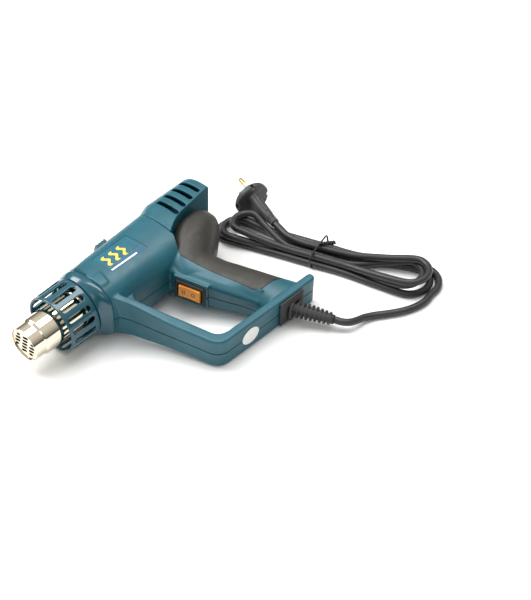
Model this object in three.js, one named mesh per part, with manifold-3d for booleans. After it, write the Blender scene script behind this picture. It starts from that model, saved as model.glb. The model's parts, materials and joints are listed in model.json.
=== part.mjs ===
// Hot-air gun with a D-shaped handle, lying on its side on a table, with its lead folded into a hank.
// Units are millimetres. The gun is modelled in its own frame first: +X runs along the air outlet
// towards the nozzle, +Y from the barrel down to the handle base, and Z across the mid-plane, so Z = 0
// is the parting plane of the two housing halves. The outlet's front rim is at X = 0 on the axis.
// The whole gun is then tipped about X until the barrel and the handle base both rest on the table.

import * as THREE from "three";
import { mergeVertices } from "three/addons/utils/BufferGeometryUtils.js";
import Module from "manifold-3d";

const wasm = await Module();
wasm.setup();

// ---------------------------------------------------------------- driving dimensions

const GAP = 0.3; // clearance between pieces that touch
const RING = 30; // points round a lofted section

const OUTLET_RADIUS = 17; // standard 34 mm nozzle seat
const OUTLET_SWELL = 1.6; // the tube behind the seat is this much larger in radius
const OUTLET_SEAT = 12; // length of the nozzle seat
const OUTLET_WALL = 1;

const GUARD_FRONT = 32.7; // guard rim behind the outlet rim
const GUARD_LENGTH = 33.5;
const GUARD_RADIUS = 29.2;
const GUARD_TAPER = 0.9; // growth of the guard's radius towards the rear
const GUARD_WALL = 2.2;
const GUARD_SLOTS = 16;
const GUARD_SLOT_WIDTH = 5.8;
const GUARD_RIM = 3.4; // solid ring left in front of the slots
const GUARD_TAIL = 4; // solid ring left behind the slots

const BARREL_LENGTH = 94.5; // housing front edge to the cap's parting line
const BARREL_TOP = [27.5, 33.5]; // height above the axis, front and rear
const BARREL_BOTTOM = [37, 38.5]; // depth below the axis, front and rear
const BARREL_HALF = [31.5, 32.5]; // half thickness, front and rear
const BARREL_POWER = 2.8; // squareness of the section
const SHELL_WALL = 2.5;
const COLLAR_LENGTH = 11.4;
const SPIGOT_LENGTH = 11;

const CAP_LENGTH = 69;
const CAP_FLARE = 5; // the cap steps up over the barrel by this much
const CAP_FLARE_LENGTH = 17;
const CAP_EDGE = 3; // rounding at the rear edge
const CAP_SLOTS = 4;
const CAP_SLOT_WIDTH = 4;
const CAP_SLOT_PITCH = 11.8;
const CAP_SLOT_REAR = 12.5; // rearmost slot from the cap's end

const FRAME_HALF = 16.1; // half thickness of the handle frame
const FRAME_BEVEL = 2.2;
const BASE_OUTER = 139; // handle base from the axis, at mid length
const BASE_THICK = 8.6;
const LEG_THICK = 11.4;
const LEG_SLOPE = 0.262; // the leg leans back by this much per mm

const GRIP_SLOPE = 0.383;
const GRIP_WIDTH = 18.5; // half width of the grip's waist
const RUBBER = 3; // thickness of the soft cover

const SWITCH_AT = 61; // centre of the switch below the axis
const SWITCH_SLOPE = 0.3; // the switch stands a little more upright than the grip
const BEZEL_LENGTH = 32;
const BEZEL_WIDTH = 24;
const ROCKER_LENGTH = 22;
const ROCKER_WIDTH = 13.4;
const ROCKER_PLAY = 2; // clearance at each end of the rocker, for its swing

const LATCH_LENGTH = 13;
const LATCH_HALF = 19;
const LATCH_HEIGHT = 4.2;
const LATCH_TRAVEL = 4;
const COVER_LENGTH = 39;
const COVER_HALF = [28.6, 22.4]; // half width of the top cover, front and rear

const FLANGE_LENGTH = 30;
const FLANGE_WIDTH = 28;
const FLANGE_THICK = 4;
const BOOT_LENGTH = 38;
const BOOT_ROOT = 8.6;
const BOOT_TIP = 6.2;
const BOOT_RIBS = 7;
const CORD_RADIUS = 3.5;

const MOTOR_RADIUS = 15.5;
const MOTOR_LENGTH = 32;
const SHAFT_RADIUS = 1.5;
const FAN_RADIUS = 23;
const FAN_WIDTH = 10;
const FAN_BLADES = 9;
const COIL_TURNS = 7;
const COIL_WIRE = 0.9;
const COIL_STEPS = 9; // straight steps in one turn of the coil

const SCREW_SHANK = 1.5;
const SCREW_HEAD = 2.8;
const SCREW_LENGTH = 24;

const HANK_ENDS = [[-260, 12, 18.5], [-311, 203, 23]]; // centre X and Y of each round end, and its radius
const HANK_LAYER = 7.4; // height of the hank where its turns lie flat
const HANK_STACK = 15; // height at the tie, where they lie on each other
const STACK_SPAN = [0.36, 0.85]; // the stacked stretch, as shares of the hank's length
const TIE_AT = 0.47;
const TIE_WIDTH = 3;
const PLUG_AT = [-295, 1.6]; // centre of the plug's face
const PLUG_TURN = -1.81; // direction of the pins, radians from +X
const PLUG_TILT = 0.13; // the pins point up by this angle
const PLUG_RADIUS = 18.5;
const PLUG_RIM = 7;
const PLUG_NECK = 26;
const PLUG_SLEEVE = 12;
const PIN_RADIUS = 2.4;
const PIN_LENGTH = 19;
const PIN_SPREAD = 9.5;

// Route of the free lead on the table, from the boot to the hank: X, Y, height.
const LEAD_ROUTE = [
  [-218, 179.8, 10.7], [-220.4, 185.6, 9.9], [-225.4, 190.6, 8.6], [-233, 192.9, 6.8],
  [-242, 194.6, 5], [-251, 199.4, 3.9], [-261, 207.5, 3.6], [-271.5, 216.8, 3.6],
  [-282, 225.4, 3.6], [-294, 230.8, 3.6], [-306, 231.6, 3.6],
];
// Route from the plug's sleeve to the stacked turns of the hank.
const TAIL_ROUTE = [
  [-284.36, 45.24, 13.58], [-283.26, 49.77, 12.97], [-282, 55.1, 12.3], [-281.4, 57.5, 12], [-280.9, 60.3, 11.6],
  [-280.5, 63.4, 11.2],
];

// ---------------------------------------------------------------- derived places

const BARREL_FRONT_X = -(GUARD_FRONT + GUARD_LENGTH + 2 * GAP + COLLAR_LENGTH);
const CAP_FRONT_X = BARREL_FRONT_X - BARREL_LENGTH;
const CAP_REAR_X = CAP_FRONT_X - CAP_LENGTH;
const TUBE_RADIUS = OUTLET_RADIUS + OUTLET_SWELL;
const TUBE_BORE = TUBE_RADIUS - OUTLET_WALL;
const OUTLET_LENGTH = SPIGOT_LENGTH + 1.8 - BARREL_FRONT_X; // the tube ends behind the collar's spigot
const LEG_FRONT = -BARREL_FRONT_X - 2.7; // front face of the leg, where it would meet the axis
const GRIP_FRONT = -CAP_FRONT_X - 43.3; // front face of the grip, where it would meet the axis
const HEEL_X = CAP_FRONT_X - 62.8; // rear end of the base
const FLANGE_X = CAP_FRONT_X - 28.8; // middle of the strain relief

// ---------------------------------------------------------------- solids and shapes

const mix = (a, b, t) => a + (b - a) * t;

// A closed mesh as a solid that can be cut and joined.
function solid(geometry) {
  const bare = new THREE.BufferGeometry();
  bare.setAttribute("position", geometry.getAttribute("position").clone());
  if (geometry.index) bare.setIndex(geometry.index.clone());
  const merged = mergeVertices(bare, 1e-4);
  return new wasm.Manifold(
    new wasm.Mesh({
      numProp: 3,
      vertProperties: new Float32Array(merged.attributes.position.array),
      triVerts: new Uint32Array(merged.index.array),
    }),
  );
}

// The solid's surface as a geometry with flat facets.
function surface(body) {
  const { vertProperties, triVerts, numProp } = body.getMesh();
  const places = new Float32Array((vertProperties.length / numProp) * 3);
  for (let i = 0; i < places.length / 3; i++)
    for (let k = 0; k < 3; k++) places[3 * i + k] = vertProperties[numProp * i + k];
  const shell = new THREE.BufferGeometry();
  shell.setAttribute("position", new THREE.BufferAttribute(places, 3));
  shell.setIndex(new THREE.BufferAttribute(new Uint32Array(triVerts), 1));
  shell.computeVertexNormals();
  return shell;
}

// Joins rings of equal count into one closed skin, with a fan over each end.
function loft(rings) {
  const count = rings[0].length;
  const points = rings.flat();
  const faces = [];
  for (let r = 0; r + 1 < rings.length; r++)
    for (let i = 0; i < count; i++) {
      const a = r * count + i;
      const b = r * count + ((i + 1) % count);
      faces.push(a, b, b + count, a, b + count, a + count);
    }
  for (const [r, flip] of [[0, true], [rings.length - 1, false]]) {
    const middle = points.length;
    const centre = rings[r].reduce((sum, p) => sum.add(p), new THREE.Vector3());
    points.push(centre.divideScalar(count));
    for (let i = 0; i < count; i++) {
      const a = r * count + i;
      const b = r * count + ((i + 1) % count);
      faces.push(...(flip ? [middle, b, a] : [middle, a, b]));
    }
  }
  const skin = new THREE.BufferGeometry().setFromPoints(points);
  skin.setIndex(faces);
  const body = solid(skin);
  if (body.volume() > 0) return body;
  skin.setIndex(faces.map((_, i) => faces[i - (i % 3) + (2 - (i % 3))]));
  return solid(skin);
}

// Points of a superellipse, as pairs.
function oval(halfA, halfB, power, count = RING) {
  const points = [];
  for (let i = 0; i < count; i++) {
    const turn = (2 * Math.PI * i) / count;
    const c = Math.cos(turn);
    const s = Math.sin(turn);
    const reach = (Math.abs(c) ** power + Math.abs(s) ** power) ** (-1 / power);
    points.push([halfA * reach * c, halfB * reach * s]);
  }
  return points;
}

// A flat outline in X and Y pulled through Z from low to high.
function slab(outline, low, high) {
  const drawn = outline instanceof THREE.Shape;
  const shape = drawn ? outline : new THREE.Shape(outline.map(([x, y]) => new THREE.Vector2(x, y)));
  const settings = { depth: high - low, bevelEnabled: false, curveSegments: 8 };
  return solid(new THREE.ExtrudeGeometry(shape, settings).translate(0, 0, low));
}

function box(x0, x1, y0, y1, z0, z1) {
  const block = new THREE.BoxGeometry(x1 - x0, y1 - y0, z1 - z0);
  return solid(block.translate((x0 + x1) / 2, (y0 + y1) / 2, (z0 + z1) / 2));
}

// A piece turned about Y from a closed profile of radius and Y, whichever way round it is written.
function lathe(profile, sides) {
  const points = profile.map(([r, y]) => new THREE.Vector2(r, y));
  const body = solid(new THREE.LatheGeometry([...points, points[0]], sides));
  if (body.volume() > 0) return body;
  points.reverse();
  return solid(new THREE.LatheGeometry([...points, points[0]], sides));
}

// A turned piece on the gun's axis: profile pairs are X and radius.
function turned(profile, sides = 32) {
  return lathe(profile.map(([x, r]) => [r, x]), sides).rotate([0, 0, -90]);
}

// A round bar along X.
function barX(x0, x1, radius, y = 0, z = 0, sides = 20) {
  const bar = new THREE.CylinderGeometry(radius, radius, Math.abs(x1 - x0), sides);
  return solid(bar.rotateZ(Math.PI / 2).translate((x0 + x1) / 2, y, z));
}

// A round bar along Z.
function barZ(x, y, z0, z1, radius, sides = 24) {
  const bar = new THREE.CylinderGeometry(radius, radius, z1 - z0, sides);
  return solid(bar.rotateX(Math.PI / 2).translate(x, y, (z0 + z1) / 2));
}

// A slot with round ends, cut radially: length along X, width across.
function slotCutter(length, width, depth) {
  const half = width / 2;
  const shape = new THREE.Shape();
  shape.absarc(length / 2 - half, 0, half, -Math.PI / 2, Math.PI / 2);
  shape.absarc(-length / 2 + half, 0, half, Math.PI / 2, 1.5 * Math.PI);
  return new THREE.ExtrudeGeometry(shape, { depth, bevelEnabled: false, curveSegments: 2 });
}

// ---------------------------------------------------------------- barrel sections

function barrelSizes(x) {
  const t = (BARREL_FRONT_X - x) / BARREL_LENGTH;
  const clamped = Math.min(1, Math.max(0, t));
  return {
    top: mix(...BARREL_TOP, clamped),
    bottom: mix(...BARREL_BOTTOM, clamped),
    half: mix(...BARREL_HALF, clamped),
  };
}

function ringAt(x, { top, bottom, half }, grow, power = BARREL_POWER) {
  const middle = (bottom - top) / 2;
  const reach = (bottom + top) / 2 + grow;
  return oval(reach, half + grow, power).map(([y, z]) => new THREE.Vector3(x, y + middle, z));
}

function barrelBody(grow, x0 = BARREL_FRONT_X, x1 = CAP_FRONT_X) {
  return loft([x0, mix(x0, x1, 0.5), x1].map((x) => ringAt(x, barrelSizes(x), grow)));
}

function capSizes(x) {
  const rear = barrelSizes(CAP_FRONT_X);
  const t = Math.min(1, (CAP_FRONT_X - x) / CAP_FLARE_LENGTH);
  const lift = CAP_FLARE * t * t * (3 - 2 * t);
  return { top: rear.top + lift, bottom: rear.bottom, half: rear.half + 0.15 * lift };
}

function capBody(grow, x0, x1) {
  const steps = [0, 0.3, 0.6, 1].map((t) => CAP_FRONT_X - t * CAP_FLARE_LENGTH);
  const inner = steps.filter((x) => x < x0 && x > x1);
  return loft([x0, ...inner, x1].map((x) => ringAt(x, capSizes(x), grow)));
}

// ---------------------------------------------------------------- handle outlines

const baseLine = (x) => BASE_OUTER - 0.032 * (x + 150);
const legLine = (y) => -LEG_FRONT - LEG_SLOPE * y;
const gripLine = (y) => -GRIP_FRONT - GRIP_SLOPE * y;

// The leg and base as one bent bar, from inside the barrel round to the heel.
function frameOutline(grow = 0) {
  const shape = new THREE.Shape();
  const corner = 13;
  const baseTop = (x) => baseLine(x) - BASE_THICK;
  const turnX = legLine(BASE_OUTER);
  shape.moveTo(legLine(26) + grow, 26);
  shape.lineTo(legLine(BASE_OUTER - corner) + grow, BASE_OUTER - corner);
  shape.quadraticCurveTo(turnX + grow, baseLine(turnX) + grow, turnX - corner, baseLine(turnX) + grow);
  shape.lineTo(HEEL_X + 5, baseLine(HEEL_X) + grow);
  shape.quadraticCurveTo(HEEL_X - grow, baseLine(HEEL_X) + grow, HEEL_X - grow, baseLine(HEEL_X) - 5);
  shape.quadraticCurveTo(HEEL_X - grow, baseTop(HEEL_X) + 0.5, HEEL_X + 4, baseTop(HEEL_X) - grow);
  shape.lineTo(turnX - LEG_THICK - 11, baseTop(turnX) - grow);
  const inner = legLine(BASE_OUTER - BASE_THICK) - LEG_THICK;
  const innerY = BASE_OUTER - BASE_THICK - 10;
  shape.quadraticCurveTo(inner - grow, baseTop(turnX) - grow, legLine(innerY) - LEG_THICK - grow, innerY);
  shape.lineTo(legLine(48) - LEG_THICK - grow, 48);
  shape.quadraticCurveTo(legLine(40) - LEG_THICK - grow, 38, legLine(40) - LEG_THICK - 12, 33);
  shape.lineTo(legLine(26) - LEG_THICK - 12, 26);
  return shape;
}

function frameBody() {
  const settings = {
    depth: 2 * (FRAME_HALF - FRAME_BEVEL),
    bevelEnabled: true,
    bevelThickness: FRAME_BEVEL,
    bevelSize: FRAME_BEVEL,
    bevelOffset: -FRAME_BEVEL,
    bevelSegments: 1,
    curveSegments: 5,
  };
  const block = new THREE.ExtrudeGeometry(frameOutline(), settings);
  return solid(block.translate(0, 0, FRAME_BEVEL - FRAME_HALF));
}

const WAIST = GRIP_WIDTH;
const gripMiddle = (y) => gripLine(y) - 22;
// The bulb under the cap: Y, distance behind the cap's parting line, half depth, half width.
const BULB = [
  [2.6, 35.3, 13, 14], [4, 33.8, 20, 20.5], [8, 31.8, 26, 25.5], [14, 28.3, 30.5, 28],
  [21, 24.3, 33.5, 29], [28, 17.8, 34.5, 28.5], [35, 10.3, 33.5, 26.5],
];
// The grip's lower end: height above the base, half depth, half width.
const LOW_GRIP = [
  [39, 22, WAIST], [25, 22.2, WAIST - 0.5], [15, 23.2, WAIST - 1.5], [4, 25, FRAME_HALF - 1],
];
// The leg widens into the barrel: Y, half width, depth of the wide part.
const LEG_FLARE = [
  [12, 30, 9], [19, 29.5, 7], [23, 26, 6.5], [28, 23.5, 6.5], [36, 21.8, 7], [52, 20.3, 7.5],
  [68, 18, 9], [84, FRAME_HALF, 10],
];

function legFlare() {
  return loft(LEG_FLARE.map(([y, half, depth]) => {
    const front = legLine(y) + 0.02;
    const rear = front - LEG_THICK + 0.4;
    const near = [[front, half], [front - depth, half], [rear, FRAME_HALF - 3]];
    const far = near.map(([x, z]) => [x, -z]).reverse();
    return [...near, ...far].map(([x, z]) => new THREE.Vector3(x, y, z));
  }));
}

// Sections of the grip from the bulb down to the base: Y, centre X, half depth, half width.
const GRIP_SECTIONS = [
  ...BULB.map(([y, back, depth, width]) => [y, CAP_FRONT_X - back, depth, width]),
  [42, CAP_FRONT_X - 4.8, 30, WAIST + 5.5],
  [50, gripMiddle(50) - 1, 24.5, WAIST + 2.5], [60, gripMiddle(60), 22.5, WAIST + 0.8],
  [80, gripMiddle(80), 22, WAIST],
  ...LOW_GRIP.map(([up, depth, width]) => [BASE_OUTER - up, gripMiddle(BASE_OUTER - up), depth, width]),
];

function gripBody(shrink) {
  const first = GRIP_SECTIONS[0];
  const rows = GRIP_SECTIONS.map(([y, x, depth, width]) => {
    const lift = y === first[0] ? shrink : 0;
    return oval(depth - shrink, width - shrink, 2.4).map(([dx, z]) => new THREE.Vector3(x + dx, y + lift, z));
  });
  return loft(shrink > RUBBER ? rows.slice(2) : rows);
}

// The region behind the line where the soft cover starts, set in by inset.
function coverRegion(inset) {
  const shape = new THREE.Shape();
  const low = BASE_OUTER - 21.5 - inset;
  const edge = (y) => gripLine(y) - 11.5 - inset + 0.1 * (y - 38);
  shape.moveTo(edge(38), 38);
  shape.lineTo(edge(low - 9), low - 9);
  shape.quadraticCurveTo(edge(low), low, edge(low) - 8, low);
  shape.quadraticCurveTo(edge(low) - 22, low, CAP_FRONT_X - 41.3, low + 3);
  shape.lineTo(CAP_REAR_X - 50, low + 5);
  shape.lineTo(CAP_REAR_X - 50, -20);
  shape.lineTo(CAP_FRONT_X - 32.3 - inset, -20);
  shape.quadraticCurveTo(CAP_FRONT_X - 13.3 - inset, 6, CAP_FRONT_X - 3.3 - inset, 13);
  shape.quadraticCurveTo(edge(38) - 3, 24, edge(38), 38);
  return slab(shape, -60, 60);
}

// ---------------------------------------------------------------- housing

const switchPlane = { x: gripLine(SWITCH_AT), y: SWITCH_AT, lean: Math.atan(SWITCH_SLOPE) };

// Moves a solid from switch coordinates to the gun: X out of the grip, Y along it.
function onSwitch(body) {
  return body.rotate([0, 0, (switchPlane.lean * 180) / Math.PI]).translate([switchPlane.x, switchPlane.y, 0]);
}

const SCREW_PLACES = [
  [legLine(BASE_OUTER - 13) - 7.5, BASE_OUTER - 10],
  [HEEL_X + 9, baseLine(HEEL_X) - 4.536],
  [CAP_FRONT_X + 6.7, baseLine(CAP_FRONT_X + 6.7) - 4.312],
  [BARREL_FRONT_X - 18, 31.2],
  [CAP_FRONT_X + 24.7, 33],
];
const BOSS_RADIUS = SCREW_SHANK + GAP + 2;

function screwPosts() {
  return SCREW_PLACES.map(([x, y]) => barZ(x, y, -FRAME_HALF + 1, FRAME_HALF - 1, BOSS_RADIUS, 10));
}

function screwHoles() {
  return SCREW_PLACES.map(([x, y]) =>
    barZ(x, y, -45, -FRAME_HALF + 4.5, SCREW_HEAD + GAP, 12).add(
      barZ(x, y, -45, SCREW_LENGTH - FRAME_HALF + 2 + GAP, SCREW_SHANK + GAP, 10),
    ),
  );
}

function cavity() {
  const barrel = barrelBody(-SHELL_WALL, BARREL_FRONT_X + 5, CAP_FRONT_X - 5);
  const bore = barrel.subtract(coverRegion(-SHELL_WALL));
  const grip = gripBody(RUBBER + GAP + SHELL_WALL).subtract(box(-300, 0, BASE_OUTER - 12, 200, -60, 60));
  const half = FRAME_HALF - SHELL_WALL;
  const low = BASE_OUTER - 21;
  const legHollow = [
    [legLine(44) - SHELL_WALL, 44], [legLine(low) - SHELL_WALL, low],
    [legLine(low) - LEG_THICK + SHELL_WALL, low], [legLine(44) - LEG_THICK + SHELL_WALL, 44],
  ];
  return bore.add(grip).add(slab(legHollow, -half, half));
}

const LABEL = {
  x0: BARREL_FRONT_X - 18.3,
  x1: CAP_FRONT_X + 29.7,
  lean: -6.5,
  low: -12.5,
  high: 13.5,
  depth: 1.2,
  thick: 0.7,
};

function labelRegion(inset) {
  const { x0, x1, lean, low, high } = LABEL;
  const outline = [
    [x0 - inset, low + inset], [x0 + lean / 4 - inset, high - inset],
    [x1 + inset, high + 1 - inset], [x1 - lean / 2 + inset, low + inset],
  ];
  return slab(outline, 0, 60);
}

// The top cover's region, which narrows towards the rear.
function coverBlock(inset) {
  const [front, rear] = COVER_HALF.map((half) => half - inset);
  const back = BARREL_FRONT_X - COVER_LENGTH + inset;
  const near = [[0, front], [BARREL_FRONT_X, front], [back, rear]];
  const far = near.map(([x, z]) => [x, -z]).reverse();
  return slab([...near, ...far], 0, 60).rotate([90, 0, 0]);
}

function leadChannel() {
  const [x, y] = [FLANGE_X, baseLine(FLANGE_X)];
  const hole = new THREE.CylinderGeometry(CORD_RADIUS + 1, CORD_RADIUS + 1, 60, 16);
  return solid(hole.rotateZ(bootLean).translate(x, y, 0));
}

const bootLean = 0.385; // the boot leaves the base parallel to the grip

// The raised lip round the switch, and the fairing that it stands on: Y, X of its front, half width.
const LIP = 2;
const SWITCH_FAIRING = [[-34, -4, 11.5], [-20, -1, 14.2], [20, -1, 14.2], [34, -4, 11.5]];

function switchBoss() {
  const [reach, half] = [BEZEL_LENGTH / 2 + LIP, BEZEL_WIDTH / 2 + LIP + 0.4];
  const lip = box(-9, 2.2, -reach, reach, -half, half);
  const fairing = loft(SWITCH_FAIRING.map(([y, x, wide]) => {
    const near = [[x, wide - 2.5], [x - 1.5, wide], [x - 6, wide + 2.2], [-16, GRIP_WIDTH - 0.2]];
    const far = near.map(([u, z]) => [u, -z]).reverse();
    return [...near, ...far].map(([u, z]) => new THREE.Vector3(u, y, z));
  }));
  return onSwitch(lip.add(fairing));
}

function housing() {
  const region = coverRegion(0);
  const grip = gripBody(0).subtract(region).add(gripBody(RUBBER + GAP).intersect(coverRegion(-0.01)));
  const boss = switchBoss().subtract(region);
  const barrel = barrelBody(0).subtract(region);
  const capClear = capBody(GAP, CAP_FRONT_X + GAP, CAP_REAR_X - 5).intersect(capLowRegion(GAP));
  let shell = barrel.add(grip).add(frameBody()).add(legFlare()).add(boss).subtract(cavity());
  for (const post of screwPosts()) shell = shell.add(post);
  const [wellLength, wellWidth] = [BEZEL_LENGTH / 2 + GAP, BEZEL_WIDTH / 2 + GAP];
  const well = onSwitch(box(-30, 20, -wellLength, wellLength, -wellWidth, wellWidth));
  shell = shell.subtract(well).subtract(coverBlock(0)).subtract(leadChannel()).subtract(capClear);
  for (const hole of screwHoles()) shell = shell.subtract(hole);
  const recess = labelRegion(0).subtract(barrelBody(-LABEL.depth));
  return shell.subtract(recess).subtract(latchSlot());
}

const keepMain = (body) => body.decompose().sort((a, b) => b.volume() - a.volume())[0];
const leftOf = (body) => keepMain(body.intersect(box(-400, 100, -100, 300, GAP / 2, 100)));
const rightOf = (body) => keepMain(body.intersect(box(-400, 100, -100, 300, -100, -GAP / 2)));

// ---------------------------------------------------------------- cap, cover, collar, latch

// The cap's lower edge curves from the barrel's side up to the rear.
function capLowRegion(grow) {
  const shape = new THREE.Shape();
  shape.moveTo(CAP_FRONT_X + 1, -60);
  shape.lineTo(CAP_FRONT_X + 1, 15.5 + grow);
  shape.quadraticCurveTo(CAP_FRONT_X - 14, 4 + grow, CAP_FRONT_X - 32, 2.4 + grow);
  shape.lineTo(CAP_REAR_X - 10, -4.2 + grow);
  shape.lineTo(CAP_REAR_X - 10, -60);
  return slab(shape, -60, 60);
}

function rearCap() {
  const x0 = CAP_FRONT_X - GAP;
  const round = loft([
    ...[x0, x0 - 4, x0 - 8, x0 - 13, x0 - 17, CAP_REAR_X + CAP_EDGE].map((x) => ringAt(x, capSizes(x), 0)),
    ringAt(CAP_REAR_X + CAP_EDGE * 0.3, capSizes(CAP_REAR_X), -CAP_EDGE * 0.3),
    ringAt(CAP_REAR_X, capSizes(CAP_REAR_X), -CAP_EDGE),
  ]);
  const inside = capBody(-SHELL_WALL, x0 + 5, CAP_REAR_X + SHELL_WALL).intersect(capLowRegion(-SHELL_WALL));
  let cap = round.intersect(capLowRegion(0)).subtract(inside);
  for (let i = 0; i < CAP_SLOTS; i++) {
    const x = CAP_REAR_X + CAP_SLOT_REAR + i * CAP_SLOT_PITCH;
    const half = CAP_SLOT_WIDTH / 2;
    const end = -6.5 + i * 2.4;
    cap = cap.subtract(box(x - half, x + half, -60, end, 6, 60));
    cap = cap.subtract(box(x - half, x + half, -60, end, -60, -6));
  }
  return keepMain(cap);
}

function topCover() {
  const skin = barrelBody(0).subtract(barrelBody(-SHELL_WALL + GAP, BARREL_FRONT_X + 5, CAP_FRONT_X - 5));
  const trimmed = skin.intersect(coverBlock(GAP)).subtract(box(BARREL_FRONT_X - 0.01, 0, -60, 0, -60, 60));
  return keepMain(trimmed.subtract(latchSlot()));
}

const latchX = BARREL_FRONT_X - COVER_LENGTH - 1.2;

function latchSlot() {
  return box(latchX - LATCH_LENGTH + 1 - LATCH_TRAVEL, latchX - 3, -60, -15, -4, 4);
}

function guardLatch() {
  const block = box(latchX - LATCH_LENGTH, latchX, -60, -8, -LATCH_HALF, LATCH_HALF);
  const outer = barrelBody(LATCH_HEIGHT);
  const pad = outer.subtract(barrelBody(2 * GAP, BARREL_FRONT_X + 5, CAP_FRONT_X - 5)).intersect(block);
  let latch = keepMain(pad);
  for (let i = 0; i < 3; i++) {
    const x = latchX - 3.2 - i * 3.3;
    const floor = barrelBody(LATCH_HEIGHT - 1.1, BARREL_FRONT_X + 5, CAP_FRONT_X - 5);
    latch = latch.subtract(box(x - 1.4, x, -60, 0, -60, 60).subtract(floor));
  }
  const x = latchX - LATCH_LENGTH / 2;
  const root = -barrelSizes(x).top;
  const stem = box(x - 3, x + 1, root - 2, root + SHELL_WALL + 1.5, -2.5, 2.5);
  return latch.add(stem);
}

function guardCollar() {
  const x0 = -(GUARD_FRONT + GUARD_LENGTH) - 2 * GAP;
  const x1 = BARREL_FRONT_X + GAP;
  const circle = oval(1, 1, 2);
  const front = (x, r) => circle.map(([y, z]) => new THREE.Vector3(x, y * r, z * r));
  const rear = ringAt(x1, barrelSizes(x1), -0.5);
  const r0 = GUARD_RADIUS + GUARD_TAPER;
  const blend = (t) => front(0, r0).map((p, i) => p.lerp(rear[i], t).setX(mix(x0, x1, t)));
  const cone = loft([front(x0, r0 - 0.8), front(x0 - 1, r0), blend(0.35), blend(0.7), rear]);
  const rearEnd = BARREL_FRONT_X - SPIGOT_LENGTH;
  const spigot = barrelBody(-SHELL_WALL - GAP, x1 + 1, rearEnd);
  return cone.add(spigot).subtract(barX(x0 + 5, rearEnd - 5, TUBE_RADIUS + 5.4, 0, 0, 30));
}

function heatGuard() {
  const [x0, x1] = [-GUARD_FRONT, -GUARD_FRONT - GUARD_LENGTH];
  const [r0, r1, w] = [GUARD_RADIUS, GUARD_RADIUS + GUARD_TAPER, GUARD_WALL];
  const outside = [[x0, r0 - 0.6], [x0 - 0.8, r0], [x1, r1]];
  const inside = [[x1, r1 - w], [x0 - 1, r0 - w], [x0, r0 - w + 0.4]];
  let guard = turned([...outside, ...inside], 24);
  const length = GUARD_LENGTH - GUARD_RIM - GUARD_TAIL;
  const middle = x0 - GUARD_RIM - length / 2;
  for (let i = 0; i < GUARD_SLOTS; i++) {
    const cutter = slotCutter(length, GUARD_SLOT_WIDTH, 20).translate(middle, 0, r0 - 10);
    guard = guard.subtract(solid(cutter.rotateX(-(2 * Math.PI * (i + 0.2)) / GUARD_SLOTS)));
  }
  return guard;
}

function outletTube() {
  const [r, R, w, s] = [OUTLET_RADIUS, TUBE_RADIUS, OUTLET_WALL, -OUTLET_SEAT];
  const end = -OUTLET_LENGTH;
  return turned([
    [0, r - 0.4], [-0.5, r], [s, r], [s - 1.8, R], [end + 1.2, R], [end + 1.2, R + 5], [end, R + 5],
    [end, R - w], [s - 1.8, R - w], [s, r - w], [0, r - w],
  ]);
}

function outletGrille() {
  const reach = OUTLET_RADIUS - OUTLET_WALL - GAP;
  let disc = barX(-3, -1.8, reach, 0, 0, 28);
  for (const row of [-1, 0, 1])
    for (let i = -2; i <= 2; i++) {
      const [y, z] = [row * 9 + 0.6 * i, i * 5.2 + row * 0.8];
      if (Math.hypot(y, z) > reach - 3.4) continue;
      const hole = slotCutter(7.6, 3, 10).rotateZ(Math.PI / 2).translate(0, 0, -5);
      disc = disc.subtract(solid(hole.rotateY(Math.PI / 2).translate(-2.4, y, z)));
    }
  return disc;
}

// ---------------------------------------------------------------- grip cover and switch

function gripCover() {
  const barrel = barrelBody(GAP, BARREL_FRONT_X, CAP_FRONT_X + 0.01);
  const cap = capBody(GAP, CAP_FRONT_X + GAP, CAP_REAR_X - 5).intersect(capLowRegion(2 * GAP));
  const skin = gripBody(0).subtract(gripBody(RUBBER)).intersect(coverRegion(GAP));
  return skin.subtract(barrel.subtract(coverRegion(0))).subtract(cap);
}

function switchBezel() {
  const [l, w] = [BEZEL_LENGTH / 2, BEZEL_WIDTH / 2];
  const [wl, ww] = [ROCKER_LENGTH / 2 + ROCKER_PLAY, ROCKER_WIDTH / 2 + GAP];
  const plate = box(-3, 3.6, -l, l, -w, w).subtract(box(-9, 9, -wl, wl, -ww, ww));
  return onSwitch(plate);
}

const ROCKER_PIVOT = -3.2;

// Side profile of the rocker: a shallow V on top and a round belly about its pivot.
function rocker() {
  const half = ROCKER_LENGTH / 2;
  const shape = new THREE.Shape();
  shape.moveTo(5.6, -half);
  shape.lineTo(4.2, 0);
  shape.lineTo(5.6, half);
  shape.lineTo(1, half);
  shape.absarc(ROCKER_PIVOT, 0, 6.4, 1.15, 2 * Math.PI - 1.15, false);
  shape.lineTo(1, -half);
  return onSwitch(slab(shape, -ROCKER_WIDTH / 2, ROCKER_WIDTH / 2));
}

function switchBody() {
  const [l, w] = [BEZEL_LENGTH / 2 - 4, BEZEL_WIDTH / 2 - 3];
  const hollow = barZ(ROCKER_PIVOT, 0, -ROCKER_WIDTH / 2 - GAP, ROCKER_WIDTH / 2 + GAP, 6.4 + 2 * GAP);
  const mouth = box(ROCKER_PIVOT, 9, -ROCKER_LENGTH / 2 - ROCKER_PLAY, ROCKER_LENGTH / 2 + ROCKER_PLAY,
    -ROCKER_WIDTH / 2 - GAP, ROCKER_WIDTH / 2 + GAP);
  return onSwitch(box(-18, -3 - GAP, -l, l, -w, w).subtract(hollow).subtract(mouth));
}

// ---------------------------------------------------------------- label, sticker, strain relief

function labelPlate() {
  const inner = LABEL.depth - GAP;
  const skin = barrelBody(-inner + LABEL.thick).subtract(barrelBody(-inner));
  return keepMain(skin.intersect(labelRegion(GAP)));
}

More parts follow.
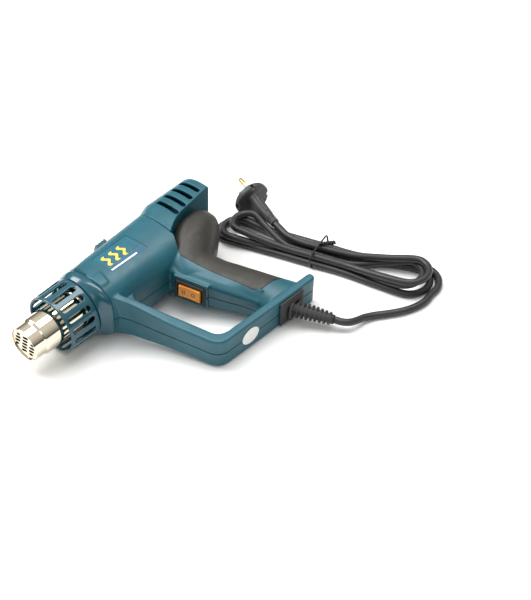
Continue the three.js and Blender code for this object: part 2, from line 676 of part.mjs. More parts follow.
function baseSticker() {
  const x = CAP_FRONT_X + 23.2;
  const disc = new THREE.CylinderGeometry(1, 1, 0.4, 32).scale(10.4, 1, 9.2);
  return solid(disc.rotateZ(-0.032).translate(x, baseLine(x) + GAP + 0.2, 0.8));
}

// Boot coordinates: Y along the boot, away from the base.
function onBoot(body) {
  return body.rotate([0, 0, (bootLean * 180) / Math.PI]).translate([FLANGE_X, baseLine(FLANGE_X), 0]);
}

function strainFlange() {
  const [l, w] = [FLANGE_LENGTH / 2, FLANGE_WIDTH / 2];
  const plate = box(-l, l, GAP, FLANGE_THICK, -w, w);
  const lean = plate.rotate([0, 0, -1.8]).translate([FLANGE_X, baseLine(FLANGE_X), 0]);
  const hole = new THREE.CylinderGeometry(CORD_RADIUS + GAP, CORD_RADIUS + GAP, 40, 20);
  return lean.subtract(onBoot(solid(hole)));
}

function strainBoot() {
  const start = FLANGE_THICK + GAP + 1;
  const [bore, foot] = [CORD_RADIUS + GAP, BOOT_ROOT + 2.6];
  const profile = [[bore, start - 3], [foot, start - 3], [foot, start + 1]];
  for (let i = 0; i < BOOT_RIBS; i++) {
    const y = start + 3 + (i * (BOOT_LENGTH - 6)) / BOOT_RIBS;
    const r = mix(BOOT_ROOT, BOOT_TIP, i / (BOOT_RIBS - 1));
    profile.push([r - 1.5, y - 1], [r - 1.5, y], [r, y + 0.5], [r, y + 2.4], [r - 1.5, y + 2.9]);
  }
  profile.push([BOOT_TIP - 1.5, start + BOOT_LENGTH], [bore, start + BOOT_LENGTH]);
  const boot = onBoot(lathe(profile, 12));
  const base = box(-60, 60, -40, FLANGE_THICK + GAP, -40, 40).rotate([0, 0, -1.8]);
  return keepMain(boot.subtract(base.translate([FLANGE_X, baseLine(FLANGE_X), 0])));
}

// ---------------------------------------------------------------- heater, fan and motor

const sleeveOuter = TUBE_BORE - GAP;
const coilRadius = sleeveOuter - 0.8 - GAP - COIL_WIRE - 0.4;
const FORMER = [-26, 7 - OUTLET_LENGTH];
const SLEEVE = [-20, 3 - OUTLET_LENGTH];
const FAN_X = BARREL_FRONT_X - 39.8;
const MOTOR_X = FAN_X - 4;

function micaSleeve() {
  const [front, rear] = SLEEVE;
  const bore = sleeveOuter - 0.8;
  return turned([[front, sleeveOuter], [rear, sleeveOuter], [rear, bore], [front, bore]], 36);
}

// Two crossed mica plates that carry the heating coil.
function micaFormer() {
  const reach = coilRadius * Math.cos(Math.PI / COIL_STEPS) - COIL_WIRE - GAP;
  const plate = box(FORMER[1], FORMER[0], -reach, reach, -0.6, 0.6);
  return plate.add(box(FORMER[1], FORMER[0], -0.6, 0.6, -reach, reach));
}

class Helix extends THREE.Curve {
  getPoint(t) {
    const turn = 2 * Math.PI * COIL_TURNS * t;
    const x = mix(FORMER[0] - 3, FORMER[1] + 3, t);
    return new THREE.Vector3(x, coilRadius * Math.cos(turn), coilRadius * Math.sin(turn));
  }
}

function disc(radius, sides = 8) {
  return new THREE.Shape(oval(radius, radius, 2, sides).map(([x, y]) => new THREE.Vector2(x, y)));
}

function heatingCoil() {
  const path = new Helix();
  return new THREE.ExtrudeGeometry(disc(COIL_WIRE, 5), { steps: COIL_TURNS * COIL_STEPS, extrudePath: path });
}

function terminalDisc() {
  let plate = barX(FORMER[1] - GAP - 2.2, FORMER[1] - GAP, sleeveOuter - 0.8 - GAP, 0, 0, 32);
  for (let i = 0; i < 4; i++) {
    const turn = Math.PI / 4 + (i * Math.PI) / 2;
    plate = plate.subtract(barX(FORMER[1] - 11, FORMER[1] + 4, 4.2, 9 * Math.cos(turn), 9 * Math.sin(turn), 16));
  }
  return plate;
}

function airDuct() {
  const [x0, x1] = [-OUTLET_LENGTH - GAP, FAN_X + FAN_WIDTH + 2];
  const [r0, r1] = [TUBE_RADIUS + 2, FAN_RADIUS + 2];
  const rear = x1 - FAN_WIDTH - 2;
  return turned([[x0, r0], [x1, r1], [rear, r1], [rear, r1 - 1.4], [x1, r1 - 1.4], [x0, r0 - 1.4]]);
}

function fanImpeller() {
  let fan = barX(FAN_X, FAN_X + 1.6, FAN_RADIUS, 0, 0, 36).add(barX(FAN_X, FAN_X + FAN_WIDTH, 6, 0, 0, 20));
  for (let i = 0; i < FAN_BLADES; i++) {
    const blade = box(FAN_X + 1, FAN_X + FAN_WIDTH - 1, 5, FAN_RADIUS - 0.6, -0.7, 0.7);
    fan = fan.add(blade.translate([0, 0, 3.2]).rotate([(360 * i) / FAN_BLADES, 0, 0]));
  }
  return fan.subtract(barX(FAN_X - 2, FAN_X + FAN_WIDTH + 2, SHAFT_RADIUS + GAP, 0, 0, 16));
}

function motorCan() {
  const [x0, x1, r] = [MOTOR_X, MOTOR_X - MOTOR_LENGTH, MOTOR_RADIUS];
  const bore = SHAFT_RADIUS + GAP;
  const front = [[x0 + 2.4, bore], [x0 + 2.4, 5], [x0, 5], [x0, r - 1], [x0 - 1, r]];
  const rear = [[x1 + 1, r], [x1, r - 1], [x1, 5.5], [x1 - 3, 5.5], [x1 - 3, bore]];
  return turned([...front, ...rear], 24);
}

const motorShaft = () => barX(FAN_X + FAN_WIDTH + 1.5, MOTOR_X - MOTOR_LENGTH - 4.5, SHAFT_RADIUS, 0, 0, 14);

// A plate across the barrel that holds the motor, with four air windows.
function motorMount() {
  const x = MOTOR_X - 11;
  const plate = barrelBody(-SHELL_WALL - GAP).intersect(box(x - 3, x, -60, 60, -60, 60));
  let mount = plate.subtract(barX(x - 9, x + 9, MOTOR_RADIUS + GAP, 0, 0, 32));
  for (const [y, z] of [[-22, 0], [22, 14], [22, -14], [0, 23.5], [0, -23.5]])
    mount = mount.subtract(barX(x - 9, x + 9, 4.6, y, z, 10));
  return mount;
}

function controlBoard() {
  const x = MOTOR_X - MOTOR_LENGTH - 9;
  const board = box(x - 1.6, x, -17, 12, -20, 20);
  const relay = box(x - 8, x - 1, -12, -4, -14, -4);
  const heatSink = box(x - 7, x - 1, 2, 9, -13, 2);
  const capacitor = barX(x - 9, x - 1, 4, -7, 9, 16);
  return board.add(relay).add(heatSink).add(capacitor);
}

const thermalCutout = () => box(-OUTLET_LENGTH - 8, -OUTLET_LENGTH - 2, -12.6, -10, -3, 3);

// ---------------------------------------------------------------- wiring inside the grip

const CLAMP_Y = BASE_OUTER - 27;
const BLOCK_Y = CLAMP_Y - 18; // the terminal block, above the clamp

function cordClamp() {
  const x = gripMiddle(CLAMP_Y);
  const block = box(x - 9, x + 9, CLAMP_Y - 4, CLAMP_Y + 4, CORD_RADIUS + GAP, CORD_RADIUS + 4);
  const holes = [-6.8, 6.8].map((dx) => barZ(x + dx, CLAMP_Y, 0, 20, 1.1 + GAP, 12));
  return holes.reduce((all, hole) => all.subtract(hole), block);
}

const clampScrew = (side) => barZ(gripMiddle(CLAMP_Y) + 6.8 * side, CLAMP_Y, 1, CORD_RADIUS + 5.6, 1.1, 12);

function terminalBlock() {
  const x = gripMiddle(BLOCK_Y);
  return box(x - 7, x + 7, BLOCK_Y - 4, BLOCK_Y + 4, -11.2, -4.2);
}

// The lead inside the handle, from the boot up to the terminal block.
function innerLead() {
  const start = onBootPoint(-1);
  const clamp = new THREE.Vector3(gripMiddle(CLAMP_Y), CLAMP_Y, 0);
  const [x, top] = [gripMiddle(BLOCK_Y), BLOCK_Y + 4];
  const ends = [new THREE.Vector3(x, top, 0), new THREE.Vector3(x, top - 7, 0)];
  const extrudePath = new THREE.CatmullRomCurve3([start, onBootPoint(-12), clamp, ...ends]);
  return new THREE.ExtrudeGeometry(disc(CORD_RADIUS - 0.2, 10), { steps: 14, extrudePath });
}

function onBootPoint(along) {
  const [s, c] = [Math.sin(bootLean), Math.cos(bootLean)];
  return new THREE.Vector3(FLANGE_X - s * along, baseLine(FLANGE_X) + c * along, 0);
}

function housingScrew([x, y]) {
  const top = -FRAME_HALF + 4.2;
  const shank = barZ(x, y, top - 1, SCREW_LENGTH - FRAME_HALF + 2, SCREW_SHANK, 8);
  return barZ(x, y, top - 2.4, top, SCREW_HEAD, 10).add(shank);
}

// ---------------------------------------------------------------- the free lead

function route(points, radius, sides = 10) {
  const places = points.map(([x, y, z]) => new THREE.Vector3(x, y, z));
  const extrudePath = new THREE.CatmullRomCurve3(places, false, "centripetal");
  return new THREE.ExtrudeGeometry(disc(radius, sides), { steps: 3 * (points.length - 1), extrudePath });
}

// A flat outline with round ends, between two shares of the hank's length.
function hankSlab(from, to, height, narrow) {
  const [[x0, y0, r0], [x1, y1, r1]] = HANK_ENDS;
  const turn = Math.atan2(y1 - y0, x1 - x0);
  const at = (t) => [mix(x0, x1, t), mix(y0, y1, t), mix(r0, r1, t) - narrow];
  const [[ax, ay, ar], [bx, by, br]] = [at(from), at(to)];
  const shape = new THREE.Shape();
  shape.absarc(bx, by, br, turn - Math.PI / 2, turn + Math.PI / 2);
  shape.absarc(ax, ay, ar, turn + Math.PI / 2, turn + 1.5 * Math.PI);
  const block = new THREE.ExtrudeGeometry(shape, { depth: height, bevelEnabled: false, curveSegments: 10 });
  return solid(block);
}

// The folded lead as one plain body: flat at both ends, stacked in the middle, with a waist for the tie.
function hankBlock() {
  const stack = hankSlab(...STACK_SPAN, HANK_STACK, 5);
  return hankSlab(0, 1, HANK_LAYER, 0).add(stack).subtract(tieBand(GAP));
}

// The tie's wire round the hank: a square ring across it, open inside for the turns.
function tieBand(grow) {
  const [[x0, y0, r0], [x1, y1, r1]] = HANK_ENDS;
  const half = mix(r0, r1, TIE_AT);
  const wide = TIE_WIDTH / 2 + grow;
  const ring = box(-wide, wide, -half - 1, half + 1, -1, HANK_STACK + 1)
    .subtract(box(-9, 9, -half + 1 + grow, half - 1 - grow, -2, HANK_STACK - 0.8 - grow));
  const turn = (Math.atan2(y1 - y0, x1 - x0) * 180) / Math.PI;
  return ring.rotate([0, 0, turn]).translate([mix(x0, x1, TIE_AT), mix(y0, y1, TIE_AT), 0]);
}

function cordTie() {
  return tieBand(0).intersect(box(-400, 0, 0, 300, 0.2, HANK_STACK + 0.6));
}

// Plug coordinates: X along the pins from the plug's face, Z up.
function plugBody() {
  const rim = barX(-PLUG_RIM, 0, PLUG_RADIUS, 0, 0, 32);
  const end = -PLUG_RIM - PLUG_NECK;
  const section = (x, y, z, power) => oval(y, z, power, 20).map(([a, b]) => new THREE.Vector3(x, a, b));
  const neck = loft([
    section(-PLUG_RIM + 1, 7.6, 11, 2.4), section(-PLUG_RIM - 8, 6.4, 8.4, 2.4), section(end, 5.2, 5.6, 2.2),
    section(end - PLUG_SLEEVE, CORD_RADIUS + 1, CORD_RADIUS + 1, 2),
  ]);
  const groove = (side) => box(-PLUG_RIM - 1, -2, side * PLUG_RADIUS - 2.4, side * PLUG_RADIUS + 2.4, -3, 3);
  return rim.subtract(groove(1)).subtract(groove(-1)).add(neck);
}

const plugPin = (side) => barX(GAP, GAP + PIN_LENGTH, PIN_RADIUS, 0, side * PIN_SPREAD, 14);

// ---------------------------------------------------------------- assembly

const paint = (color, roughness, metalness = 0) => new THREE.MeshStandardMaterial({ color, roughness, metalness });
const TEAL = paint(0x1f6a7c, 0.42);
const TEAL_GLOSS = paint(0x1c6272, 0.2);
const RUBBER_GREY = paint(0x3d3a37, 0.8);
const BLACK = paint(0x1b1b1d, 0.5);
const ORANGE = paint(0xe0721c, 0.4);
const CHROME = paint(0xd8d8d6, 0.12, 1);
const STEEL = paint(0xa8a9ab, 0.35, 1);
const BRASS = paint(0xc9b27a, 0.3, 1);
const MICA = paint(0xc9bda0, 0.7);
const PCB = paint(0x2f6b3c, 0.6);
const PALE = paint(0xeeeeea, 0.5);
const WIRE = paint(0x9a8f86, 0.4, 1);

function piece(group, name, shape, material) {
  const geometry = shape.isBufferGeometry ? shape : surface(shape);
  const mesh = new THREE.Mesh(geometry, material);
  mesh.name = name;
  group.add(mesh);
  return mesh;
}

const gun = new THREE.Group();
const shell = housing();
const soft = gripCover();
const leftShell = piece(gun, "housing_left", leftOf(shell), TEAL);
const rightShell = piece(gun, "housing_right", rightOf(shell), TEAL);
const cap = piece(gun, "rear_cap", rearCap(), TEAL);
piece(gun, "top_cover", topCover(), TEAL_GLOSS);
piece(gun, "guard_latch", guardLatch(), TEAL_GLOSS);
piece(gun, "guard_collar", guardCollar(), TEAL_GLOSS);
piece(gun, "heat_guard", heatGuard(), TEAL_GLOSS);
piece(gun, "outlet_tube", outletTube(), CHROME);
piece(gun, "outlet_grille", outletGrille(), CHROME);
piece(gun, "grip_cover_left", leftOf(soft), RUBBER_GREY);
piece(gun, "grip_cover_right", rightOf(soft), RUBBER_GREY);
piece(gun, "switch_bezel", switchBezel(), BLACK);
piece(gun, "switch_rocker", rocker(), ORANGE);
piece(gun, "switch_body", switchBody(), BLACK);
piece(gun, "label_plate", labelPlate(), PALE);
piece(gun, "base_sticker", baseSticker(), PALE);
piece(gun, "strain_relief_flange", strainFlange(), BLACK);
piece(gun, "strain_relief_boot", strainBoot(), BLACK);
piece(gun, "mica_sleeve", micaSleeve(), MICA);
piece(gun, "mica_former", micaFormer(), MICA);
piece(gun, "heating_coil", heatingCoil(), WIRE);
piece(gun, "terminal_disc", terminalDisc(), MICA);
piece(gun, "air_duct", airDuct(), BLACK);
piece(gun, "fan_impeller", fanImpeller(), BLACK);
piece(gun, "motor_can", motorCan(), STEEL);
piece(gun, "motor_shaft", motorShaft(), STEEL);
piece(gun, "motor_mount", motorMount(), BLACK);
piece(gun, "control_board", controlBoard(), PCB);
piece(gun, "thermal_cutout", thermalCutout(), STEEL);
piece(gun, "cord_clamp", cordClamp(), BLACK);
piece(gun, "clamp_screw_1", clampScrew(-1), STEEL);
piece(gun, "clamp_screw_2", clampScrew(1), STEEL);
piece(gun, "terminal_block", terminalBlock(), PALE);
piece(gun, "inner_lead", innerLead(), BLACK);
SCREW_PLACES.forEach((place, i) => piece(gun, `housing_screw_${i + 1}`, housingScrew(place), STEEL));

// Lowest height of some points when the gun is tipped by an angle about X.
function lowest(points, tilt) {
  return Math.min(...points.map((p) => p.z * Math.cos(tilt) - p.y * Math.sin(tilt)));
}

// The angle at which the barrel and the handle base touch the same table.
function restingTilt() {
  const points = [rightShell, cap].flatMap(({ geometry: { attributes: { position } } }) =>
    Array.from({ length: position.count }, (_, i) => new THREE.Vector3().fromBufferAttribute(position, i)));
  const barrel = points.filter((p) => p.y < 60);
  const base = points.filter((p) => p.y > 110);
  let [low, high] = [0, 0.5];
  for (let i = 0; i < 50; i++) {
    const middle = (low + high) / 2;
    if (lowest(base, middle) > lowest(barrel, middle)) low = middle;
    else high = middle;
  }
  return low;
}

gun.rotation.x = -restingTilt();
gun.updateMatrixWorld(true);
const reach = new THREE.Box3().setFromObject(gun, true);
gun.position.z = -reach.min.z;

const lead = new THREE.Group();
piece(lead, "cord_lead", route(LEAD_ROUTE, CORD_RADIUS), BLACK);
piece(lead, "cord_hank", hankBlock(), BLACK);
piece(lead, "cord_tail", route(TAIL_ROUTE, CORD_RADIUS), BLACK);
piece(lead, "cord_tie", cordTie(), BLACK);
const plug = new THREE.Group();
piece(plug, "plug_body", plugBody(), BLACK);
piece(plug, "plug_pin_1", plugPin(-1), BRASS);
piece(plug, "plug_pin_2", plugPin(1), BRASS);
const plugHeight = PLUG_RADIUS * Math.cos(PLUG_TILT) + PLUG_RIM * Math.sin(PLUG_TILT) + 0.2;
plug.position.set(...PLUG_AT, plugHeight);
plug.rotation.set(0, -PLUG_TILT, PLUG_TURN, "ZYX");
lead.add(plug);

const heatGun = new THREE.Group();
heatGun.add(gun, lead);
heatGun.position.set(-(reach.min.x + reach.max.x) / 2, -(reach.min.y + reach.max.y) / 2, 0);

export default heatGun;
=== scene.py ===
"""Looks of a hot-air gun that lies on its side on a table, with its lead folded into a tied hank.

The gun's pieces are built in the gun's own millimetres: +X along the outlet towards the nozzle, +Y from the
barrel down to the handle base, +Z across the parting plane of the housing halves. The lead and the plug are
built in table millimetres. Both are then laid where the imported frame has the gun.
"""

import json
import logging
import math
from dataclasses import dataclass
from enum import Enum
from typing import Callable, Iterable, Sequence

import bmesh
import bpy
import numpy as np
from mathutils import Matrix, Vector


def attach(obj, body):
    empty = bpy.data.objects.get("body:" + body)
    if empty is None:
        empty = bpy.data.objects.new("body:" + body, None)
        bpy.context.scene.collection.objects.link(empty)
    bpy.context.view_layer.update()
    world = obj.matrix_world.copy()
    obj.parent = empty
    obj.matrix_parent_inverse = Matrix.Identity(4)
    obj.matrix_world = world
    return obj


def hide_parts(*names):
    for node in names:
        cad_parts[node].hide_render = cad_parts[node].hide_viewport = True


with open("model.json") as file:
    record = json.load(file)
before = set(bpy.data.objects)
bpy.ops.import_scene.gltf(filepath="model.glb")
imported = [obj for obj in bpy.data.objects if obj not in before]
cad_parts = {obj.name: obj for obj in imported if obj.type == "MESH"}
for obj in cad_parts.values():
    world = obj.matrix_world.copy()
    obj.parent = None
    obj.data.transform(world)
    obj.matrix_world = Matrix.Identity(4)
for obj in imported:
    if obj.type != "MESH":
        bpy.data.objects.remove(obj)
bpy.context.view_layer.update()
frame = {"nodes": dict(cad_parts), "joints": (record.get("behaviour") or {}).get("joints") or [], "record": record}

LOG = logging.getLogger("heat_gun")
MM = 0.001
RING = 128  # points round a smooth section
SEAM = 0.5  # width of the visible seam round a fitted piece
Ring = list[Vector]
Outline = list[tuple[float, float]]


# ---------------------------------------------------------------- finishes


def linear(red: int, green: int, blue: int) -> tuple[float, float, float, float]:
    """A display colour, 0 to 255, as linear light."""
    parts = [c / 255 for c in (red, green, blue)]
    lit = [c / 12.92 if c <= 0.04045 else ((c + 0.055) / 1.055) ** 2.4 for c in parts]
    return (lit[0], lit[1], lit[2], 1.0)


class Surface(Enum):
    """How a finish breaks up its surface."""

    GRAIN = "grain"
    BRUSHED = "brushed"
    SMOOTH = "smooth"


@dataclass(frozen=True)
class Finish:
    """One procedural finish: colour drift, roughness drift and a fine relief.

    Attributes:
        name: The material's name.
        colour: Main colour, 0 to 255.
        drift: Second colour that the main one drifts towards.
        rough: Lowest and highest roughness.
        grain: Size of the relief in millimetres.
        relief: Height of the relief in millimetres.
        metal: Metalness.
        surface: The kind of relief.
        specular: Strength of the plain reflection.
        coat: Strength of a clear gloss over it.
        dust: Share of the surface that carries pale specks.
    """

    name: str
    colour: tuple[int, int, int]
    drift: tuple[int, int, int]
    rough: tuple[float, float]
    grain: float = 0.5
    relief: float = 0.02
    metal: float = 0.0
    surface: Surface = Surface.GRAIN
    specular: float = 0.5
    coat: float = 0.0
    dust: float = 0.0

    def material(self) -> bpy.types.Material:
        """The finish as a material, made once.

        Returns:
            The material with this finish's name.
        """
        found = bpy.data.materials.get(self.name)
        if found:
            return found
        made = bpy.data.materials.new(self.name)
        made.use_nodes = True
        tree = made.node_tree
        shader = tree.nodes["Principled BSDF"]
        shader.inputs["Metallic"].default_value = self.metal
        shader.inputs["Specular IOR Level"].default_value = self.specular
        shader.inputs["Coat Weight"].default_value = self.coat
        shader.inputs["Coat Roughness"].default_value = 0.08
        place = self._place(tree)
        self._colour(tree, shader, place)
        self._roughness(tree, shader, place)
        if self.relief > 0:
            self._relief(tree, shader, place)
        return made

    def _place(self, tree: bpy.types.NodeTree) -> bpy.types.NodeSocket:
        """The place on the piece in millimetres, drawn out along the gun's axis where it is brushed."""
        coordinates = tree.nodes.new("ShaderNodeTexCoord")
        mapping = tree.nodes.new("ShaderNodeMapping")
        along = 0.06 if self.surface is Surface.BRUSHED else 1.0
        mapping.inputs["Scale"].default_value = (along / MM, 1 / MM, 1 / MM)
        tree.links.new(coordinates.outputs["Object"], mapping.inputs["Vector"])
        return mapping.outputs["Vector"]

    def _noise(
        self, tree: bpy.types.NodeTree, place: bpy.types.NodeSocket, size: float, detail: float
    ) -> bpy.types.NodeSocket:
        """Noise of a size in millimetres, from 0 to 1."""
        noise = tree.nodes.new("ShaderNodeTexNoise")
        noise.inputs["Scale"].default_value = 1 / size
        noise.inputs["Detail"].default_value = detail
        tree.links.new(place, noise.inputs["Vector"])
        return noise.outputs["Fac"]

    def _colour(self, tree: bpy.types.NodeTree, shader: bpy.types.Node, place: bpy.types.NodeSocket) -> None:
        """Lets the colour drift slowly over the piece, with a finer mottle and dust specks."""
        ramp = tree.nodes.new("ShaderNodeValToRGB")
        ramp.color_ramp.elements[0].position = 0.35
        ramp.color_ramp.elements[1].position = 0.68
        ramp.color_ramp.elements[0].color = linear(*self.drift)
        ramp.color_ramp.elements[1].color = linear(*self.colour)
        tree.links.new(self._noise(tree, place, 22, 6), ramp.inputs["Fac"])
        colour = ramp.outputs["Color"]
        if self.dust > 0:
            specks = tree.nodes.new("ShaderNodeMapRange")
            specks.inputs["From Min"].default_value = 0.72 - 0.1 * self.dust
            specks.inputs["From Max"].default_value = 0.82
            specks.inputs["To Max"].default_value = 0.35
            tree.links.new(self._noise(tree, place, 1.3, 3), specks.inputs["Value"])
            mix = tree.nodes.new("ShaderNodeMixRGB")
            mix.inputs["Color2"].default_value = linear(176, 170, 160)
            tree.links.new(specks.outputs["Result"], mix.inputs["Fac"])
            tree.links.new(colour, mix.inputs["Color1"])
            colour = mix.outputs["Color"]
        tree.links.new(colour, shader.inputs["Base Color"])

    def _roughness(self, tree: bpy.types.NodeTree, shader: bpy.types.Node,
                   place: bpy.types.NodeSocket) -> None:
        """Lets the roughness wander between its two values, as handling leaves it."""
        spread = tree.nodes.new("ShaderNodeMapRange")
        spread.inputs["From Min"].default_value = 0.3
        spread.inputs["From Max"].default_value = 0.7
        spread.inputs["To Min"].default_value = self.rough[0]
        spread.inputs["To Max"].default_value = self.rough[1]
        tree.links.new(self._noise(tree, place, 7, 8), spread.inputs["Value"])
        tree.links.new(spread.outputs["Result"], shader.inputs["Roughness"])

    def _relief(self, tree: bpy.types.NodeTree, shader: bpy.types.Node, place: bpy.types.NodeSocket) -> None:
        """Adds the moulded grain, the brushing, or a soft unevenness."""
        bump = tree.nodes.new("ShaderNodeBump")
        bump.inputs["Strength"].default_value = 0.6
        bump.inputs["Distance"].default_value = self.relief * MM
        detail = 2.0 if self.surface is Surface.SMOOTH else 5.0
        tree.links.new(self._noise(tree, place, self.grain, detail), bump.inputs["Height"])
        tree.links.new(bump.outputs["Normal"], shader.inputs["Normal"])


TEAL = Finish("teal_plastic", (20, 90, 105), (16, 82, 95), (0.32, 0.44), 0.45, 0.05)
TEAL_GLOSS = Finish("teal_gloss", (12, 78, 94), (10, 71, 86), (0.14, 0.24), 1.6, 0.02, coat=0.35,
                    surface=Surface.SMOOTH)
RUBBER = Finish("soft_grip", (50, 47, 42), (41, 39, 34), (0.44, 0.58), 0.35, 0.08, dust=0.5)
BLACK = Finish("black_plastic", (42, 41, 42), (34, 33, 35), (0.4, 0.56), 0.4, 0.05, dust=0.3)
CORD = Finish("cord_sheath", (44, 44, 46), (34, 34, 37), (0.34, 0.5), 0.9, 0.06, dust=0.5)
PLUG = Finish("plug_body", (66, 66, 68), (54, 54, 57), (0.42, 0.6), 0.5, 0.06, dust=0.4)
ORANGE = Finish("orange_rocker", (250, 158, 40), (242, 146, 32), (0.24, 0.36), 0.9, 0.02, coat=0.2)
MARK = Finish("mark_print", (96, 62, 24), (84, 54, 22), (0.4, 0.5), 0.6, 0.01)
# The cream of the chrome's colour and drift is a painted warm reflection of the surroundings, put into the metal's
# own colour.
CHROME = Finish("chrome_painted_warm_reflection", (234, 225, 204), (222, 210, 186), (0.05, 0.12), 2.5, 0.012, metal=1.0,
                surface=Surface.BRUSHED)
STEEL = Finish("plain_steel", (176, 176, 178), (150, 150, 152), (0.28, 0.42), 0.6, 0.03, metal=1.0,
               surface=Surface.BRUSHED)
BRASS = Finish("pin_brass", (222, 196, 128), (204, 176, 110), (0.2, 0.32), 0.7, 0.02, metal=1.0)
CREAM = Finish("pin_sleeve", (224, 214, 186), (214, 203, 172), (0.4, 0.5), 0.5, 0.02)
LABEL_TEAL = Finish("label_film", (26, 98, 116), (22, 90, 107), (0.24, 0.34), 0.8, 0.01, coat=0.15)
WHITE = Finish("sticker_film", (238, 239, 234), (228, 230, 226), (0.3, 0.45), 0.8, 0.02)
BLUE = Finish("stripe_blue", (10, 84, 128), (8, 76, 118), (0.3, 0.4), 0.6, 0.01)
GOLD = Finish("gold_print", (236, 206, 84), (226, 190, 70), (0.3, 0.42), 0.6, 0.02)
MICA = Finish("mica_sheet", (198, 184, 150), (176, 160, 124), (0.35, 0.6), 2.4, 0.05)
WIRE = Finish("heater_wire", (142, 128, 118), (104, 92, 92), (0.3, 0.5), 0.5, 0.04, metal=1.0)
BOARD = Finish("circuit_board", (44, 104, 60), (36, 90, 52), (0.35, 0.5), 0.6, 0.03)
TIE = Finish("tie_wire", (30, 30, 31), (24, 24, 26), (0.3, 0.45), 0.6, 0.03)


# ---------------------------------------------------------------- solids


class Solid:
    """A closed mesh in millimetres that can be joined, cut and softened."""

    def __init__(self, mesh: bpy.types.Mesh) -> None:
        """Wraps a closed mesh."""
        self.mesh = mesh

    @classmethod
    def of(cls, points: Iterable[Sequence[float]], faces: Iterable[Sequence[int]]) -> "Solid":
        """A solid from points and faces, turned so that its faces point out.

        Args:
            points: Places in millimetres.
            faces: Corner numbers of each face.

        Returns:
            The closed solid.
        """
        mesh = bpy.data.meshes.new("solid")
        mesh.from_pydata([tuple(p) for p in points], [], [tuple(f) for f in faces])
        work = bmesh.new()
        work.from_mesh(mesh)
        bmesh.ops.remove_doubles(work, verts=work.verts, dist=1e-4)
        bmesh.ops.recalc_face_normals(work, faces=work.faces)
        bmesh.ops.triangulate(work, faces=[f for f in work.faces if len(f.verts) > 4])
        if work.calc_volume(signed=True) < 0:
            bmesh.ops.reverse_faces(work, faces=work.faces)
        work.to_mesh(mesh)
        work.free()
        return cls(mesh)

    def _evaluated(self, dress: Callable[[bpy.types.Object], list[bpy.types.Object]]) -> "Solid":
        """Applies the modifiers that dress puts on a passing object.

        Args:
            dress: Puts modifiers on the object and returns the helper objects that they use.

        Returns:
            The changed solid.
        """
        holder = bpy.data.objects.new("work", self.mesh)
        bpy.context.scene.collection.objects.link(holder)
        helpers = dress(holder)
        graph = bpy.context.evaluated_depsgraph_get()
        mesh = bpy.data.meshes.new_from_object(holder.evaluated_get(graph))
        for thing in [holder, *helpers]:
            bpy.data.objects.remove(thing)
        return Solid(mesh)

    def _with(self, other: "Solid", operation: str) -> "Solid":
        """This solid joined, cut or kept by another."""

        def dress(holder: bpy.types.Object) -> list[bpy.types.Object]:
            """Puts the boolean on."""
            tool = bpy.data.objects.new("tool", other.mesh)
            bpy.context.scene.collection.objects.link(tool)
            cut = holder.modifiers.new("cut", "BOOLEAN")
            cut.object, cut.operation, cut.solver = tool, operation, "MANIFOLD"
            return [tool]

        return self._evaluated(dress)

    def __add__(self, other: "Solid") -> "Solid":
        """Both solids as one."""
        return self._with(other, "UNION")

    def __sub__(self, other: "Solid") -> "Solid":
        """This solid without the other."""
        return self._with(other, "DIFFERENCE")

    def __and__(self, other: "Solid") -> "Solid":
        """What both solids share."""
        return self._with(other, "INTERSECT")

    def softened(self, cell: float, passes: int) -> "Solid":
        """The solid with every edge rounded, as a moulding has.

        Args:
            cell: Size of the new mesh's faces in millimetres.
            passes: How often the surface is relaxed.

        Returns:
            The rounded solid.
        """

        def dress(holder: bpy.types.Object) -> list[bpy.types.Object]:
            """Puts an even mesh and the relaxing on."""
            even = holder.modifiers.new("even", "REMESH")
            even.mode, even.voxel_size = "VOXEL", cell
            relax = holder.modifiers.new("relax", "SMOOTH")
            relax.factor, relax.iterations = 0.5, passes
            return []

        return self._evaluated(dress)

    def moved(self, matrix: Matrix) -> "Solid":
        """A copy of the solid, moved by a matrix."""
        mesh = self.mesh.copy()
        mesh.transform(matrix)
        return Solid(mesh)

    def main_part(self) -> "Solid":
        """The largest of the solid's separate bodies."""
        work = bmesh.new()
        work.from_mesh(self.mesh)
        unseen = set(work.verts)
        parts: list[list[bmesh.types.BMVert]] = []
        while unseen:
            front = [unseen.pop()]
            part = list(front)
            while front:
                here = front.pop()
                near = [e.other_vert(here) for e in here.link_edges]
                fresh = [v for v in near if v in unseen]
                unseen.difference_update(fresh)
                part.extend(fresh)
                front.extend(fresh)
            parts.append(part)
        parts.sort(key=len, reverse=True)
        for part in parts[1:]:
            bmesh.ops.delete(work, geom=part, context="VERTS")
        mesh = bpy.data.meshes.new("solid")
        work.to_mesh(mesh)
        work.free()
        return Solid(mesh)


def union(parts: Sequence[Solid]) -> Solid:
    """All the solids joined into one."""
    whole = parts[0]
    for part in parts[1:]:
        whole = whole + part
    return whole


def loft(rings: Sequence[Ring]) -> Solid:
    """One closed skin over rings of equal count, with a fan over each end."""
    count = len(rings[0])
    points = [p for ring in rings for p in ring]
    faces: list[tuple[int, ...]] = []
    for r in range(len(rings) - 1):
        for i in range(count):
            a, b = r * count + i, r * count + (i + 1) % count
            faces.append((a, b, b + count, a + count))
    for r in (0, len(rings) - 1):
        middle = len(points)
        points.append(sum(rings[r], Vector()) / count)
        faces += [(middle, r * count + i, r * count + (i + 1) % count) for i in range(count)]
    return Solid.of(points, faces)


def oval(half_a: float, half_b: float, power: float, count: int = RING) -> Outline:
    """Points of a superellipse."""
    points = []
    for i in range(count):
        turn = 2 * math.pi * i / count
        c, s = math.cos(turn), math.sin(turn)
        reach = (abs(c) ** power + abs(s) ** power) ** (-1 / power)
        points.append((half_a * reach * c, half_b * reach * s))
    return points


